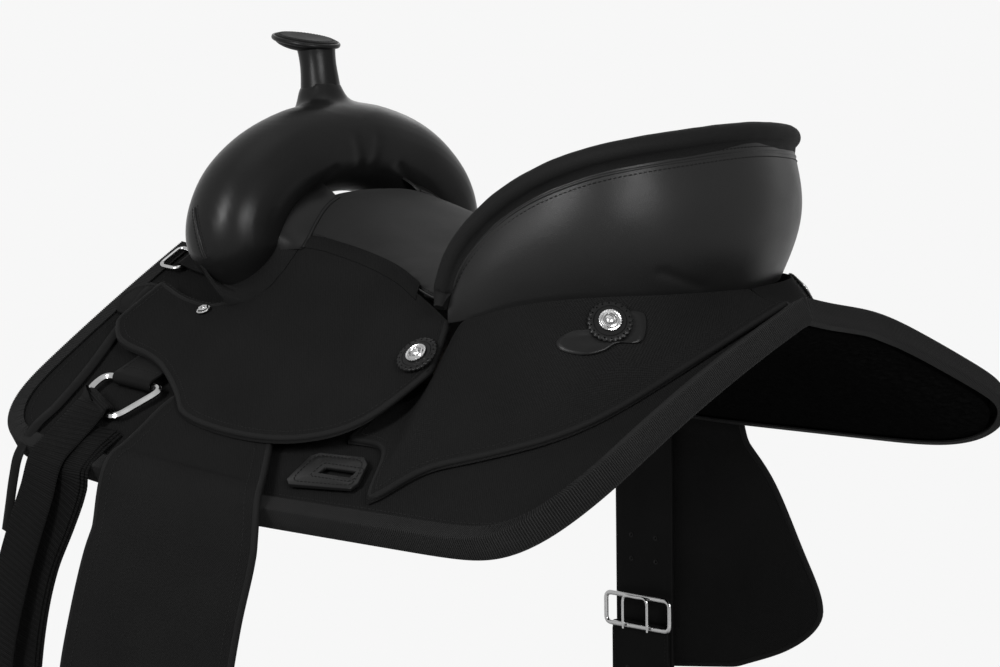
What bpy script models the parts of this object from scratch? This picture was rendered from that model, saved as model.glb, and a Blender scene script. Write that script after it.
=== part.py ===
# Western saddle, in metres. x points to the saddle's left, y to the horse's tail, z up.
# The origin lies on the horse's back line under the seat.
import bpy
import bmesh
from math import cos, pi, radians, sin, sqrt
from mathutils import Vector

# Skirts and the back they lie on.
SKIRT_HALF_WIDTH = 0.330
SKIRT_REAR = 0.334
SKIRT_FRONT = -0.328
SKIRT_FRONT_CORNER = 0.062
SKIRT_REAR_CORNER = {"near": 0.075, "off": 0.050}
SKIRT_THICKNESS = 0.004
FLEECE_THICKNESS = 0.012
FLEECE_INSET = 0.007
OFF_SKIRT_RISE = 0.016
OFF_SKIRT_DROOP = 0.11
REAR_BOW = 0.155
CENTRE_GAP = 0.0015
BINDING_WIDTH = 0.013
BINDING_THICKNESS = 0.0016

# Swell, horn and cantle.
SWELL_CENTRE = Vector((0.0, -0.204, 0.141))
SWELL_HALF_SPAN = 0.1285
SWELL_RISE = 0.0765
SWELL_TOP_RADIUS = 0.0435
SWELL_LOBE_RADIUS = 0.0495
SWELL_SHELL = 0.011
SWELL_ENDS = (-25, 205)
SWELL_TAPER = 22
SWELL_END_SHARE = 0.72
SWELL_DEPTH_SHARE = 1.02
FORK_RADIUS_SHARE = 0.62
HORN_BASE = Vector((0.0, -0.220, 0.259))
HORN_TOP = Vector((0.0, -0.227, 0.315))
HORN_CORE_RADIUS = 0.008
HORN_CORE_SUNK = 0.030
HORN_CAP_CENTRE = Vector((0.0, -0.240, 0.3175))
HORN_CAP_HALF_LENGTH = 0.034
HORN_CAP_HALF_WIDTH = 0.031
HORN_CAP_THICKNESS = 0.010
HORN_CAP_TILT = 11
CANTLE_ROLL_RADIUS = 0.0085
CANTLE_ROLL_FOOT = (0.174, 0.091, 0.095)
CANTLE_BULGE = 0.014
CANTLE_LEATHER = 0.004
CANTLE_BOARD = 0.009

# The gap kept between pieces that touch.
CLEARANCE = 0.0004

# Layers over the skirt, each measured upwards from its top face.
LEATHER_LIFT = 0.0054
LEATHER_THICKNESS = 0.0036
FENDER_LIFT = 0.0090
FENDER_THICKNESS = 0.0038
JOCKEY_LIFT = 0.0195
JOCKEY_THICKNESS = 0.005
REAR_JOCKEY_LIFT = 0.007

# Rigging and stirrups.
DEE_WIDTH = 0.076
DEE_BAR = 0.0036
WEBBING_WIDTH = 0.0445
WEBBING_THICKNESS = 0.0026
WEBBING_SLACK = 0.0016
FOLD_THICKNESS = 0.0052
STIRRUP_LEATHER_WIDTH = 0.074
LEATHER_Y = -0.100
FOLD_Z = -0.088
HANGING_X = 0.338
FENDER_X = 0.346
STIRRUP_PIN_X = 0.334
STIRRUP_PIN_Z = -0.470
STIRRUP_PIN_RADIUS = 0.0062
STIRRUP_PIN_HALF = 0.0438
LOOP_RADIUS = 0.0098
STIRRUP_BOW = 0.006
STIRRUP_DEPTH = 0.050
CONCHO_RADIUS = 0.0095
ROSETTE_RADIUS = 0.019
ROSETTE_THICKNESS = 0.0026
FORK_SCREW_RADIUS = 0.0065

for old in list(bpy.data.objects):
    bpy.data.objects.remove(old, do_unlink=True)


def material(name, color, roughness, metallic=0.0):
    made = bpy.data.materials.new(name)
    made.use_nodes = True
    shader = made.node_tree.nodes["Principled BSDF"]
    shader.inputs["Base Color"].default_value = (*color, 1.0)
    shader.inputs["Roughness"].default_value = roughness
    shader.inputs["Metallic"].default_value = metallic
    made.diffuse_color = (*color, 1.0)
    return made


LEATHER = ("leather", (0.035, 0.035, 0.037), 0.42)
SUEDE = ("suede", (0.11, 0.11, 0.115), 0.8)
CORDURA = ("cordura", (0.03, 0.03, 0.031), 0.85)
GROSGRAIN = ("grosgrain", (0.045, 0.045, 0.045), 0.75)
FLEECE = ("fleece", (0.02, 0.02, 0.02), 0.95)
WEBBING = ("webbing", (0.02, 0.02, 0.02), 0.55)
CHROME = ("chrome", (0.75, 0.75, 0.76), 0.15, 1.0)
WOOD = ("tree", (0.45, 0.32, 0.2), 0.7)


def finish(name, mesh_builder, look, smooth_angle=40):
    # One object from a filled bmesh, facing out, with its own material.
    bmesh.ops.recalc_face_normals(mesh_builder, faces=mesh_builder.faces)
    mesh = bpy.data.meshes.new(name)
    mesh_builder.to_mesh(mesh)
    mesh_builder.free()
    mesh.shade_smooth()
    mesh.set_sharp_from_angle(angle=radians(smooth_angle))
    made = bpy.data.objects.new(name, mesh)
    bpy.context.collection.objects.link(made)
    mesh.materials.append(material(look[0] + "_" + name, *look[1:]))
    return made


def set_origin(made, place):
    # Moves an object's origin to its joint axis without moving its mesh.
    shift = Vector(place)
    for vertex in made.data.vertices:
        vertex.co -= shift
    made.location = shift


def ease(value):
    # Smooth step from 0 to 1.
    value = min(max(value, 0.0), 1.0)
    return value * value * (3 - 2 * value)


def mix(low, high, share):
    return low + (high - low) * share


def curve(points, count):
    # Smooth curve through the given points, with evenly spaced parameters.
    points = [Vector(point) for point in points]
    last = len(points) - 1
    out = []
    for step in range(count):
        place = step / (count - 1) * last
        index = min(int(place), last - 1)
        t = place - index
        p1 = points[index]
        p2 = points[index + 1]
        p0 = points[index - 1] if index > 0 else p1 * 2 - p2
        p3 = points[index + 2] if index + 2 <= last else p2 * 2 - p1
        out.append(0.5 * (2 * p1 + (p2 - p0) * t + (2 * p0 - 5 * p1 + 4 * p2 - p3) * t * t
                          + (3 * p1 - p0 - 3 * p2 + p3) * t ** 3))
    return out


def loft(name, rings, look, closed=False, smooth_angle=40):
    # Closed solid through rings of equal length, capped unless the last ring meets the first.
    builder = bmesh.new()
    rows = [[builder.verts.new(point) for point in ring] for ring in rings]
    count = len(rings[0])
    pairs = list(zip(rows, rows[1:]))
    if closed:
        pairs.append((rows[-1], rows[0]))
    for first, second in pairs:
        for index in range(count):
            after = (index + 1) % count
            builder.faces.new((first[index], first[after], second[after], second[index]))
    if not closed:
        builder.faces.new(rows[0])
        builder.faces.new(rows[-1])
    return finish(name, builder, look, smooth_angle)


def annular_loft(name, outer_rings, inner_rings, look):
    # Tube wall between two sets of rings, open at both ends.
    builder = bmesh.new()
    outer = [[builder.verts.new(point) for point in ring] for ring in outer_rings]
    inner = [[builder.verts.new(point) for point in ring] for ring in inner_rings]
    count = len(outer_rings[0])
    for rows in (outer, inner):
        for first, second in zip(rows, rows[1:]):
            for index in range(count):
                after = (index + 1) % count
                builder.faces.new((first[index], first[after], second[after], second[index]))
    for end in (0, -1):
        for index in range(count):
            after = (index + 1) % count
            builder.faces.new((outer[end][index], outer[end][after], inner[end][after], inner[end][index]))
    return finish(name, builder, look)


def shell(name, top, bottom, look, smooth_angle=40):
    # Closed slab between two grids of points with the same rows and columns.
    builder = bmesh.new()
    upper = [[builder.verts.new(point) for point in row] for row in top]
    lower = [[builder.verts.new(point) for point in row] for row in bottom]
    rows = len(top)
    columns = len(top[0])
    for grid in (upper, lower):
        for row in range(rows - 1):
            for column in range(columns - 1):
                builder.faces.new((grid[row][column], grid[row][column + 1],
                                   grid[row + 1][column + 1], grid[row + 1][column]))
    border = [(0, column) for column in range(columns)]
    border += [(row, columns - 1) for row in range(1, rows)]
    border += [(rows - 1, column) for column in range(columns - 2, -1, -1)]
    border += [(row, 0) for row in range(rows - 2, 0, -1)]
    for here, after in zip(border, border[1:] + border[:1]):
        builder.faces.new((upper[here[0]][here[1]], upper[after[0]][after[1]],
                           lower[after[0]][after[1]], lower[here[0]][here[1]]))
    return finish(name, builder, look, smooth_angle)


def grid_normals(grid):
    # Unit normals of a grid of points, by central differences.
    rows = len(grid)
    columns = len(grid[0])
    out = []
    for row in range(rows):
        line = []
        for column in range(columns):
            along = grid[min(row + 1, rows - 1)][column] - grid[max(row - 1, 0)][column]
            across = grid[row][min(column + 1, columns - 1)] - grid[row][max(column - 1, 0)]
            line.append(along.cross(across).normalized())
        out.append(line)
    return out


def moved_grid(grid, normals, distance):
    return [[point + normal * distance for point, normal in zip(row, line)]
            for row, line in zip(grid, normals)]


def strap(name, path, across, width, thickness, look):
    # Flat strap along a path; across gives its width direction at each path point.
    rings = []
    for index, point in enumerate(path):
        ahead = path[min(index + 1, len(path) - 1)]
        behind = path[max(index - 1, 0)]
        along = (ahead - behind).normalized()
        side = across[index] if isinstance(across, list) else across
        side = (side - along * side.dot(along)).normalized()
        face = along.cross(side).normalized()
        half = side * (width / 2)
        deep = face * (thickness / 2)
        rings.append([point - half - deep, point + half - deep, point + half + deep, point - half + deep])
    return loft(name, rings, look, smooth_angle=30)


def circle(centre, side, up, radius, sides):
    angles = [2 * pi * k / sides for k in range(sides)]
    return [centre + side * (cos(angle) * radius) + up * (sin(angle) * radius) for angle in angles]


def round_bar(name, path, radius, sides, look, closed=False):
    # Round bar along a path lying near one plane.
    count = len(path)
    rings = []
    for index, point in enumerate(path):
        if closed:
            along = (path[(index + 1) % count] - path[index - 1]).normalized()
        else:
            along = (path[min(index + 1, count - 1)] - path[max(index - 1, 0)]).normalized()
        middle = sum(path, Vector()) / count
        out = point - middle
        side = out - along * out.dot(along)
        if side.length < 1e-5:
            side = along.orthogonal()
        side.normalize()
        up = along.cross(side)
        size = radius[index] if isinstance(radius, list) else radius
        rings.append(circle(point, side, up, size, sides))
    return loft(name, rings, look, closed=closed)


def turned(name, profile, centre, axis, look, sides=16):
    # Solid of revolution from (radius, height) pairs, with its first and last radius at 0 left out.
    axis = Vector(axis).normalized()
    side = axis.orthogonal().normalized()
    up = axis.cross(side)
    rings = []
    for radius, height in profile:
        base = Vector(centre) + axis * height
        rings.append(circle(base, side, up, radius, sides))
    return loft(name, rings, look)


# The top face of the skirts. It rises at the withers in front and towards the loin behind.
def front_share(y):
    t = max(-y / 0.330, 0.0)
    return t * t / (t + 0.15) * 1.15


def skirt_top(x, y):
    # The off skirt lies a little flatter than the near one, as in the photograph.
    off = max(-x, 0.0)
    flatter = OFF_SKIRT_RISE * ease(off / 0.130) - OFF_SKIRT_DROOP * off * off
    x = abs(x)
    rise = min(max((y - 0.250) / 0.090, 0.0), 1.3)
    ridge = 0.077 + 0.092 * front_share(y) + 0.027 * rise ** 2
    return flatter + ridge - (0.31 + 0.19 * front_share(y)) * x - 0.28 * x * x


def skirt_slope(x, y):
    step = 0.002
    return Vector((-(skirt_top(x + step, y) - skirt_top(x - step, y)) / (2 * step),
                   -(skirt_top(x, y + step) - skirt_top(x, y - step)) / (2 * step), 1.0)).normalized()


def inner_edge(y):
    # Half the gap between the two skirts: closed behind the cantle, open along the spine.
    return CENTRE_GAP + 0.030 * ease((0.250 - y) / 0.12) + 0.040 * ease((-0.050 - y) / 0.20)


def corner_cut(distance, radius):
    # How far a rounded corner draws an edge in, at a distance from the end.
    if distance >= radius:
        return 0.0
    return radius - sqrt(max(radius ** 2 - (radius - distance) ** 2, 0.0))


def skirt_rear(x):
    return SKIRT_REAR + REAR_BOW * x * x


def skirt_grid(inset, rows, columns, rear_corner):
    # Plan points of one skirt, row by row from front to rear, from the spine outwards.
    front = SKIRT_FRONT + inset
    rear = SKIRT_REAR - inset
    length = rear - front
    stations = []
    for row in range(rows):
        share = row / (rows - 1)
        share = 0.5 - 0.5 * cos(pi * share)
        stations.append(share)
    grid = []
    for share in stations:
        front_cut = corner_cut(share * length, SKIRT_FRONT_CORNER)
        rear_cut = corner_cut((1 - share) * length, rear_corner)
        outer = SKIRT_HALF_WIDTH - inset - front_cut - rear_cut
        y_line = front + share * length
        start = inner_edge(y_line) + inset * 0.3
        line = []
        for column in range(columns):
            x = mix(start, outer, column / (columns - 1))
            y = front + share * (length + REAR_BOW * x * x)
            line.append((x, y))
        grid.append(line)
    return grid


def laid(grid, side, lift):
    # Plan points laid over the skirt, lifted straight up.
    return [[Vector((side * x, y, skirt_top(side * x, y) + lift)) for x, y in row] for row in grid]


SIDES = (("near", 1), ("off", -1))
made = {}


def build_skirts():
    for label, side in SIDES:
        corner = SKIRT_REAR_CORNER[label]
        top = skirt_grid(0.0, 20, 9, corner)
        shell(label + "_skirt", laid(top, side, 0), laid(top, side, -SKIRT_THICKNESS), CORDURA)
        pad = skirt_grid(FLEECE_INSET, 20, 9, corner)
        low = -SKIRT_THICKNESS - 0.0011
        shell(label + "_fleece", laid(pad, side, low), laid(pad, side, low - FLEECE_THICKNESS), FLEECE)


def build_rear_bindings():
    # Ribbed tape folded over the rear edge of each skirt and its fleece.
    deep = SKIRT_THICKNESS + FLEECE_THICKNESS - 0.001
    for label, side in SIDES:
        rings = []
        for step in range(13):
            x = mix(CENTRE_GAP + 0.0005, SKIRT_HALF_WIDTH - SKIRT_REAR_CORNER[label], step / 12)
            y = skirt_rear(x)
            back = Vector((side * 0.25 * x, 1.0, 0.0)).normalized()
            level = Vector((side * x, y, skirt_top(side * x, y)))
            up = Vector((0, 0, 1))
            gap = 0.0009
            wall = BINDING_THICKNESS
            outline = ((-BINDING_WIDTH, gap), (gap, gap), (gap, -deep), (gap + wall, -deep),
                       (gap + wall, gap + wall), (-BINDING_WIDTH, gap + wall))
            ring = []
            for along, high in outline:
                place = level + back * along
                rise = skirt_top(place.x, place.y) - level.z if along < 0 else 0.0
                ring.append(place + up * (high + rise))
            rings.append(ring)
        loft(label + "_rear_binding", rings, GROSGRAIN, smooth_angle=30)


# The cantle: its rim and its base run round the back of the seat, from the near end to the off end.
def cantle_line(points, count):
    half = curve(points, count)
    mirrored = [Vector((-point.x, point.y, point.z)) for point in reversed(half[:-1])]
    return half + mirrored


CANTLE_RIM = ((0.167, 0.098, 0.104), (0.167, 0.114, 0.141), (0.156, 0.160, 0.183),
              (0.138, 0.216, 0.209), (0.094, 0.260, 0.221), (0.0, 0.286, 0.229))
CANTLE_BASE = ((0.168, 0.096, 0.082), (0.166, 0.124, 0.088), (0.152, 0.160, 0.098),
               (0.128, 0.211, 0.105), (0.080, 0.256, 0.106), (0.0, 0.274, 0.104))


def cantle_grid(rows, columns):
    rim = cantle_line(CANTLE_RIM, columns)
    base = cantle_line(CANTLE_BASE, columns)
    grid = []
    for row in range(rows):
        share = row / (rows - 1)
        line = []
        for low, high in zip(base, rim):
            point = low.lerp(high, share)
            out = Vector((point.x, point.y - 0.060, 0.0)).normalized()
            tall = min((high.z - low.z) / 0.12, 1.0)
            line.append(point + out * (CANTLE_BULGE * tall * sin(pi * share)))
        grid.append(line)
    return grid


def build_cantle():
    grid = cantle_grid(7, 11)
    normals = grid_normals(grid)
    if normals[3][10].y < 0:
        normals = [[-normal for normal in line] for line in normals]
    shell("cantle_back", grid, moved_grid(grid, normals, -CANTLE_LEATHER), LEATHER)
    inner = [line[2:-2] for line in moved_grid(grid, normals, -CANTLE_LEATHER - 0.001)][:-1]
    inside = [line[2:-2] for line in normals][:-1]
    shell("cantle_board", inner, moved_grid(inner, inside, -CANTLE_BOARD), WOOD)
    rim = cantle_line(CANTLE_RIM, 11)
    lifted = []
    sizes = []
    for index, point in enumerate(rim):
        out = Vector((point.x, point.y - 0.060, 0.0)).normalized()
        along = (rim[min(index + 1, len(rim) - 1)] - rim[max(index - 1, 0)]).normalized()
        away = out.cross(along).normalized()
        lifted.append(point + away * (CANTLE_ROLL_RADIUS + CLEARANCE) - out * (CANTLE_LEATHER / 2))
        sizes.append(CANTLE_ROLL_RADIUS)
    foot_x, foot_y, foot_z = CANTLE_ROLL_FOOT
    lifted = [Vector((foot_x, foot_y, foot_z))] + lifted + [Vector((-foot_x, foot_y, foot_z))]
    sizes = [CANTLE_ROLL_RADIUS * 0.75] + sizes + [CANTLE_ROLL_RADIUS * 0.75]
    round_bar("cantle_roll", lifted, sizes, 10, CORDURA)


# The swell: a fat padded arch with an opening for the hand under it.
def arch_rings(scale, count, sides):
    rings = []
    first = radians(SWELL_ENDS[0])
    last = radians(SWELL_ENDS[1])
    for step in range(count):
        angle = mix(first, last, step / (count - 1))
        high = sin(angle)
        centre = SWELL_CENTRE + Vector((cos(angle) * SWELL_HALF_SPAN, 0, high * SWELL_RISE))
        radius = mix(SWELL_LOBE_RADIUS, SWELL_TOP_RADIUS, ease(high)) * scale
        taper = ease((min(angle - first, last - angle)) / radians(SWELL_TAPER))
        radius *= mix(SWELL_END_SHARE, 1.0, taper)
        along = Vector((-sin(angle) * SWELL_HALF_SPAN, 0, cos(angle) * SWELL_RISE)).normalized()
        out = Vector((0, 1, 0)).cross(along).normalized()
        rings.append(circle(centre, out, Vector((0, SWELL_DEPTH_SHARE, 0)), radius, sides))
    return rings


def build_swell():
    outer = arch_rings(1.0, 21, 16)
    inner = arch_rings(1.0 - SWELL_SHELL / SWELL_TOP_RADIUS, 21, 16)
    cover = annular_loft("swell_cover", outer, inner, LEATHER)
    loft("tree_fork", arch_rings(FORK_RADIUS_SHARE, 17, 10), WOOD)
    return cover


def cut(target, cutter):
    change = target.modifiers.new("cut", "BOOLEAN")
    change.object = cutter
    change.solver = "EXACT"
    cutter.hide_render = True
    cutter.display_type = "WIRE"


def build_horn(cover):
    axis = (HORN_TOP - HORN_BASE).normalized()
    reach = (HORN_TOP - HORN_BASE).length
    side = Vector((1, 0, 0))
    up = axis.cross(side)

    def ring(height, radius):
        return circle(HORN_BASE + axis * height, side, up, radius, 16)

    heights = ((-0.016, 0.0235), (0.002, 0.0205), (0.010, 0.0190), (reach - 0.012, 0.0172),
               (reach - 0.003, 0.0180))
    neck = annular_loft("horn_neck", [ring(high, radius) for high, radius in heights],
                        [ring(high, HORN_CORE_RADIUS + CLEARANCE) for high, radius in heights], LEATHER)
    seat_cutter = loft("neck_seat_cutter", arch_rings(1.012, 21, 16), LEATHER)
    cut(neck, seat_cutter)
    hole = HORN_CORE_RADIUS + 0.001
    hole_cutter = loft("core_hole_cutter", [ring(-0.05, hole), ring(0.05, hole)], LEATHER)
    cut(cover, hole_cutter)
    core_ends = [ring(-HORN_CORE_SUNK, HORN_CORE_RADIUS), ring(reach - 0.0045, HORN_CORE_RADIUS)]
    core = loft("horn_core", core_ends, CHROME)
    fork_cutter = loft("fork_cutter", arch_rings(FORK_RADIUS_SHARE * 1.02, 17, 10), LEATHER)
    cut(core, fork_cutter)

    tilt = radians(HORN_CAP_TILT)
    length_way = Vector((0, -cos(tilt), sin(tilt)))
    cap_up = side.cross(-length_way).normalized()
    if cap_up.z < 0:
        cap_up = -cap_up
    rings = []
    profile = ((0.0, 0.62), (0.0016, 0.88), (0.0042, 1.0), (0.0066, 0.98), (0.0088, 0.84), (0.0100, 0.55))
    for high, share in profile:
        base = HORN_CAP_CENTRE + cap_up * (high - HORN_CAP_THICKNESS / 2)
        rings.append(circle(base, side * HORN_CAP_HALF_WIDTH, length_way * HORN_CAP_HALF_LENGTH, share, 20))
    loft("horn_cap", rings, LEATHER, smooth_angle=50)
    wide = [point + (point - HORN_CAP_CENTRE) * 0.8 for point in rings[0]]
    below = cap_up * (0.8 * HORN_CAP_THICKNESS / 2 - 0.0006)
    cap_cutter = loft("cap_cutter", [[point + below for point in wide],
                                     [point + cap_up * 0.04 for point in wide]], LEATHER)
    cut(neck, cap_cutter)
    cut(core, cap_cutter)


# The seat: its near and off edges follow the seam in front and the rim of the cantle behind.
SEAT_EDGE = ((0.075, -0.185), (0.098, -0.1545), (0.107, -0.120), (0.114, -0.070), (0.127, 0.000),
             (0.143, 0.055), (0.148, 0.100), (0.142, 0.128), (0.128, 0.160), (0.101, 0.200), (0.062, 0.235))
SEAT_EDGE_Z = (0.146, 0.140, 0.1385, 0.130, 0.114, 0.098, 0.102, 0.141, 0.172, 0.201, 0.216)
SEAT_CENTRE_Z = (0.1715, 0.1772, 0.167, 0.150, 0.125, 0.109, 0.109, 0.117, 0.133, 0.164, 0.198)
SEAT_THICKNESS = 0.010
SEAT_FRONT_CROWN = 4.6
SEAT_REAR_CROWN = 2.2


def build_seat():
    count = 21
    edge = curve([(x, y, z) for (x, y), z in zip(SEAT_EDGE, SEAT_EDGE_Z)], count)
    centre = curve([(0.0, y, z) for (x, y), z in zip(SEAT_EDGE, SEAT_CENTRE_Z)], count)
    grid = []
    for row, (side_point, middle) in enumerate(zip(edge, centre)):
        line = []
        crown = mix(SEAT_FRONT_CROWN, SEAT_REAR_CROWN, ease(row / 9))
        for column in range(-5, 6):
            share = column / 5
            lift = abs(share) ** crown
            line.append(Vector((side_point.x * share, side_point.y, mix(middle.z, side_point.z, lift))))
        grid.append(line)
    normals = grid_normals(grid)
    if normals[10][5].z < 0:
        normals = [[-normal for normal in line] for line in normals]
    shell("seat_pad", grid, moved_grid(grid, normals, -SEAT_THICKNESS), SUEDE)


# The tree bars lie on the skirts under the seat and the jockeys.
BAR_FRONT = -0.230
BAR_REAR = 0.205
BAR_INNER = 0.052
BAR_LIFT = 0.0018


def build_bars():
    for label, side in SIDES:
        top = []
        low = []
        for row in range(15):
            y = mix(BAR_FRONT, BAR_REAR, row / 14)
            thin = 1 - 0.72 * ease((-0.135 - y) / 0.040)
            wide = 0.150 - 0.030 * ease((-0.150 - y) / 0.08) - 0.055 * ease((y - 0.120) / 0.085)
            up_line = []
            low_line = []
            for column in range(5):
                share = column / 4
                x = mix(BAR_INNER, wide, share)
                base = skirt_top(side * x, y) + BAR_LIFT
                depth = mix(0.018, 0.009, share) * thin
                up_line.append(Vector((side * x, y, base + depth)))
                low_line.append(Vector((side * x, y, base)))
            top.append(up_line)
            low.append(low_line)
        shell(label + "_tree_bar", top, low, WOOD)


# The seat jockey: from the seat seam and the foot of the swell out over the stirrup leathers.
SEAT_JOCKEY_IN = ((0.150, -0.282, 0.093), (0.158, -0.240, 0.084), (0.152, -0.197, 0.080),
                  (0.130, -0.151, 0.110), (0.108, -0.147, 0.1345), (0.113, -0.110, 0.1345),
                  (0.119, -0.070, 0.127), (0.131, 0.000, 0.112), (0.148, 0.055, 0.095), (0.161, 0.088, 0.083))
SEAT_JOCKEY_OUT = ((0.205, -0.284, 0), (0.226, -0.258, 0), (0.229, -0.205, 0), (0.250, -0.158, 0),
                   (0.264, -0.135, 0), (0.276, -0.115, 0), (0.280, -0.060, 0), (0.273, 0.020, 0.001),
                   (0.249, 0.074, 0.006), (0.200, 0.103, 0.024))


def jockey_shell(name, inner, outer, lift, power, rows, side):
    # Makes the panel and returns the grid of its upper face.
    inner_line = curve(inner, rows)
    outer_line = curve(outer, rows)
    top = []
    for first, last in zip(inner_line, outer_line):
        extra = max(first.z - skirt_top(side * first.x, first.y) - lift, 0.0)
        line = []
        for column in range(7):
            share = column / 6
            x = mix(first.x, last.x, share)
            y = mix(first.y, last.y, share)
            rise = extra * (1 - share) ** power + last.z * share
            line.append(Vector((side * x, y, skirt_top(side * x, y) + lift + rise)))
        top.append(line)
    low = [[point - Vector((0, 0, JOCKEY_THICKNESS)) for point in line] for line in top]
    shell(name, top, low, CORDURA)
    return top


REAR_JOCKEY_IN = ((0.200, 0.052, 0.012), (0.192, 0.088, 0.026), (0.175, 0.112, 0.080),
                  (0.171, 0.129, 0.089), (0.158, 0.166, 0.100), (0.134, 0.217, 0.107), (0.084, 0.263, 0.108),
                  (0.0015, 0.281, 0.107))
REAR_JOCKEY_OUT = ((0.244, 0.052, 0), (0.250, 0.100, 0), (0.311, 0.139, 0), (0.268, 0.160, 0),
                   (0.243, 0.200, 0), (0.204, 0.250, 0), (0.140, 0.284, 0), (0.0015, 0.316, 0))


def build_jockeys():
    for label, side in SIDES:
        name = label + "_seat_jockey"
        made[name] = jockey_shell(name, SEAT_JOCKEY_IN, SEAT_JOCKEY_OUT, JOCKEY_LIFT, 1.35, 21, side)
        name = label + "_rear_jockey"
        made[name] = jockey_shell(name, REAR_JOCKEY_IN, REAR_JOCKEY_OUT, REAR_JOCKEY_LIFT, 1.5, 22, side)


def surface_spot(grid, place):
    # The grid point nearest to a place, and the surface's normal there.
    normals = grid_normals(grid)
    best = None
    for line, normal_line in zip(grid, normals):
        for point, normal in zip(line, normal_line):
            distance = (point - Vector(place)).length
            if best is None or distance < best[0]:
                best = (distance, point, normal if normal.z > 0 else -normal)
    return best[1], best[2]


def concho(name, centre, normal, radius):
    profile = ((radius * 0.92, 0.0), (radius, 0.0008), (radius * 0.94, 0.0022), (radius * 0.62, 0.0031),
               (radius * 0.30, 0.0036))
    return turned(name, profile, centre, normal, CHROME, 16)


def build_trim():
    for label, side in SIDES:
        jockey = made[label + "_seat_jockey"]
        point, normal = surface_spot(jockey, (side * 0.183, 0.082, 0.056))
        turned(label + "_jockey_rosette", ((ROSETTE_RADIUS, 0.0), (ROSETTE_RADIUS, ROSETTE_THICKNESS)),
               point + normal * 0.0040, normal, LEATHER, 20)
        concho(label + "_jockey_concho", point + normal * 0.0070, normal, CONCHO_RADIUS)
        point, normal = surface_spot(jockey, (side * 0.170, -0.207, 0.069))
        concho(label + "_fork_screw", point + normal * 0.0012, normal, FORK_SCREW_RADIUS)
        rear = made[label + "_rear_jockey"]
        point, normal = surface_spot(rear, (side * 0.125, 0.243, 0.085))
        turned(label + "_string_rosette", ((ROSETTE_RADIUS, 0.0), (ROSETTE_RADIUS, ROSETTE_THICKNESS)),
               point + normal * 0.0016, normal, LEATHER, 20)
        concho(label + "_string_concho", point + normal * 0.0046, normal, CONCHO_RADIUS)


def over_skirt(x, y, side, lift):
    return Vector((side * x, y, skirt_top(side * x, y) + lift))


def skirt_frame(x, y, side, lift):
    # A place over the skirt with its normal, its direction to the rear and its direction outwards.
    place = over_skirt(x, y, side, lift)
    normal = skirt_slope(place.x, place.y)
    along = Vector((0, 1, 0))
    along = (along - normal * along.dot(normal)).normalized()
    down = along.cross(normal).normalized() * side
    return place, along, down, normal


def slotted_plate(name, frame, outline, slot, base, thickness, look):
    # Flat plate with a rectangular slot, its outline and slot as (rearward, outward) pairs.
    centre, along, down, normal = frame
    builder = bmesh.new()
    levels = []
    for high in (base, base + thickness):
        loops = []
        edges = []
        for pairs in (outline, slot):
            loop = [builder.verts.new(centre + along * a + down * d + normal * high) for a, d in pairs]
            edges += [builder.edges.new(pair) for pair in zip(loop, loop[1:] + loop[:1])]
            loops.append(loop)
        bmesh.ops.triangle_fill(builder, use_beauty=True, edges=edges)
        levels.append(loops)
    for low, high in zip(*levels):
        for index in range(len(low)):
            after = (index + 1) % len(low)
            builder.faces.new((low[index], low[after], high[after], high[index]))
    return finish(name, builder, look, 30)


def box_slot(half_length, half_width):
    return ((-half_length, -half_width), (half_length, -half_width), (half_length, half_width),
            (-half_length, half_width))


# The plates for a rear cinch, on the skirt in front of the rear jockey's tip.
PLATE_SLOT_LENGTH = 0.036
PLATE_SLOT_WIDTH = 0.009
PLATE_THICKNESS = 0.0032


def build_rear_plates():
    outline = ((-0.046, -0.016), (-0.040, -0.022), (0.010, -0.024), (0.020, -0.016), (0.032, 0.010),
               (0.030, 0.018), (-0.034, 0.024), (-0.042, 0.018))
    slot = box_slot(PLATE_SLOT_LENGTH / 2, PLATE_SLOT_WIDTH / 2)
    for label, side in SIDES:
        frame = skirt_frame(0.284, 0.082, side, 0.0)
        slotted_plate(label + "_rear_plate", frame, outline, slot, 0.0030, PLATE_THICKNESS, LEATHER)


def rounded_loop(corners, radius, steps):
    # Closed path through a polygon's corners, each rounded by an arc-like curve.
    out = []
    for index, corner in enumerate(corners):
        before = (corners[index - 1] - corner).normalized() * radius
        after = (corners[(index + 1) % len(corners)] - corner).normalized() * radius
        for step in range(steps + 1):
            t = step / steps
            out.append(corner + before * (1 - t) ** 2 + after * t ** 2)
    return out


# The front dee: a top bar held by the chape and a lower bar, drawn forward, for the webbing.
DEE_LIFT = 0.0092
DEE_CORNERS = ((-0.037, 0.0), (0.036, 0.0), (0.019, 0.050), (-0.037, 0.027))
DEE_CORNER_RADIUS = 0.011
CHAPE_WIDTH = 0.046
CHAPE_THICKNESS = 0.0022
CHAPE_SLACK = 0.0018


def dee_frame(side):
    return skirt_frame(0.249, -0.209, side, DEE_LIFT)


def dee_low_bar(side):
    # The middle of the lower bar, the direction along it and the direction away from the dee.
    bar, along, down, normal = dee_frame(side)
    rear = bar + along * DEE_CORNERS[2][0] + down * DEE_CORNERS[2][1]
    front = bar + along * DEE_CORNERS[3][0] + down * DEE_CORNERS[3][1]
    run = (rear - front).normalized()
    pull = run.cross(normal).normalized() * side
    return (rear + front) / 2, run, pull, normal


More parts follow.
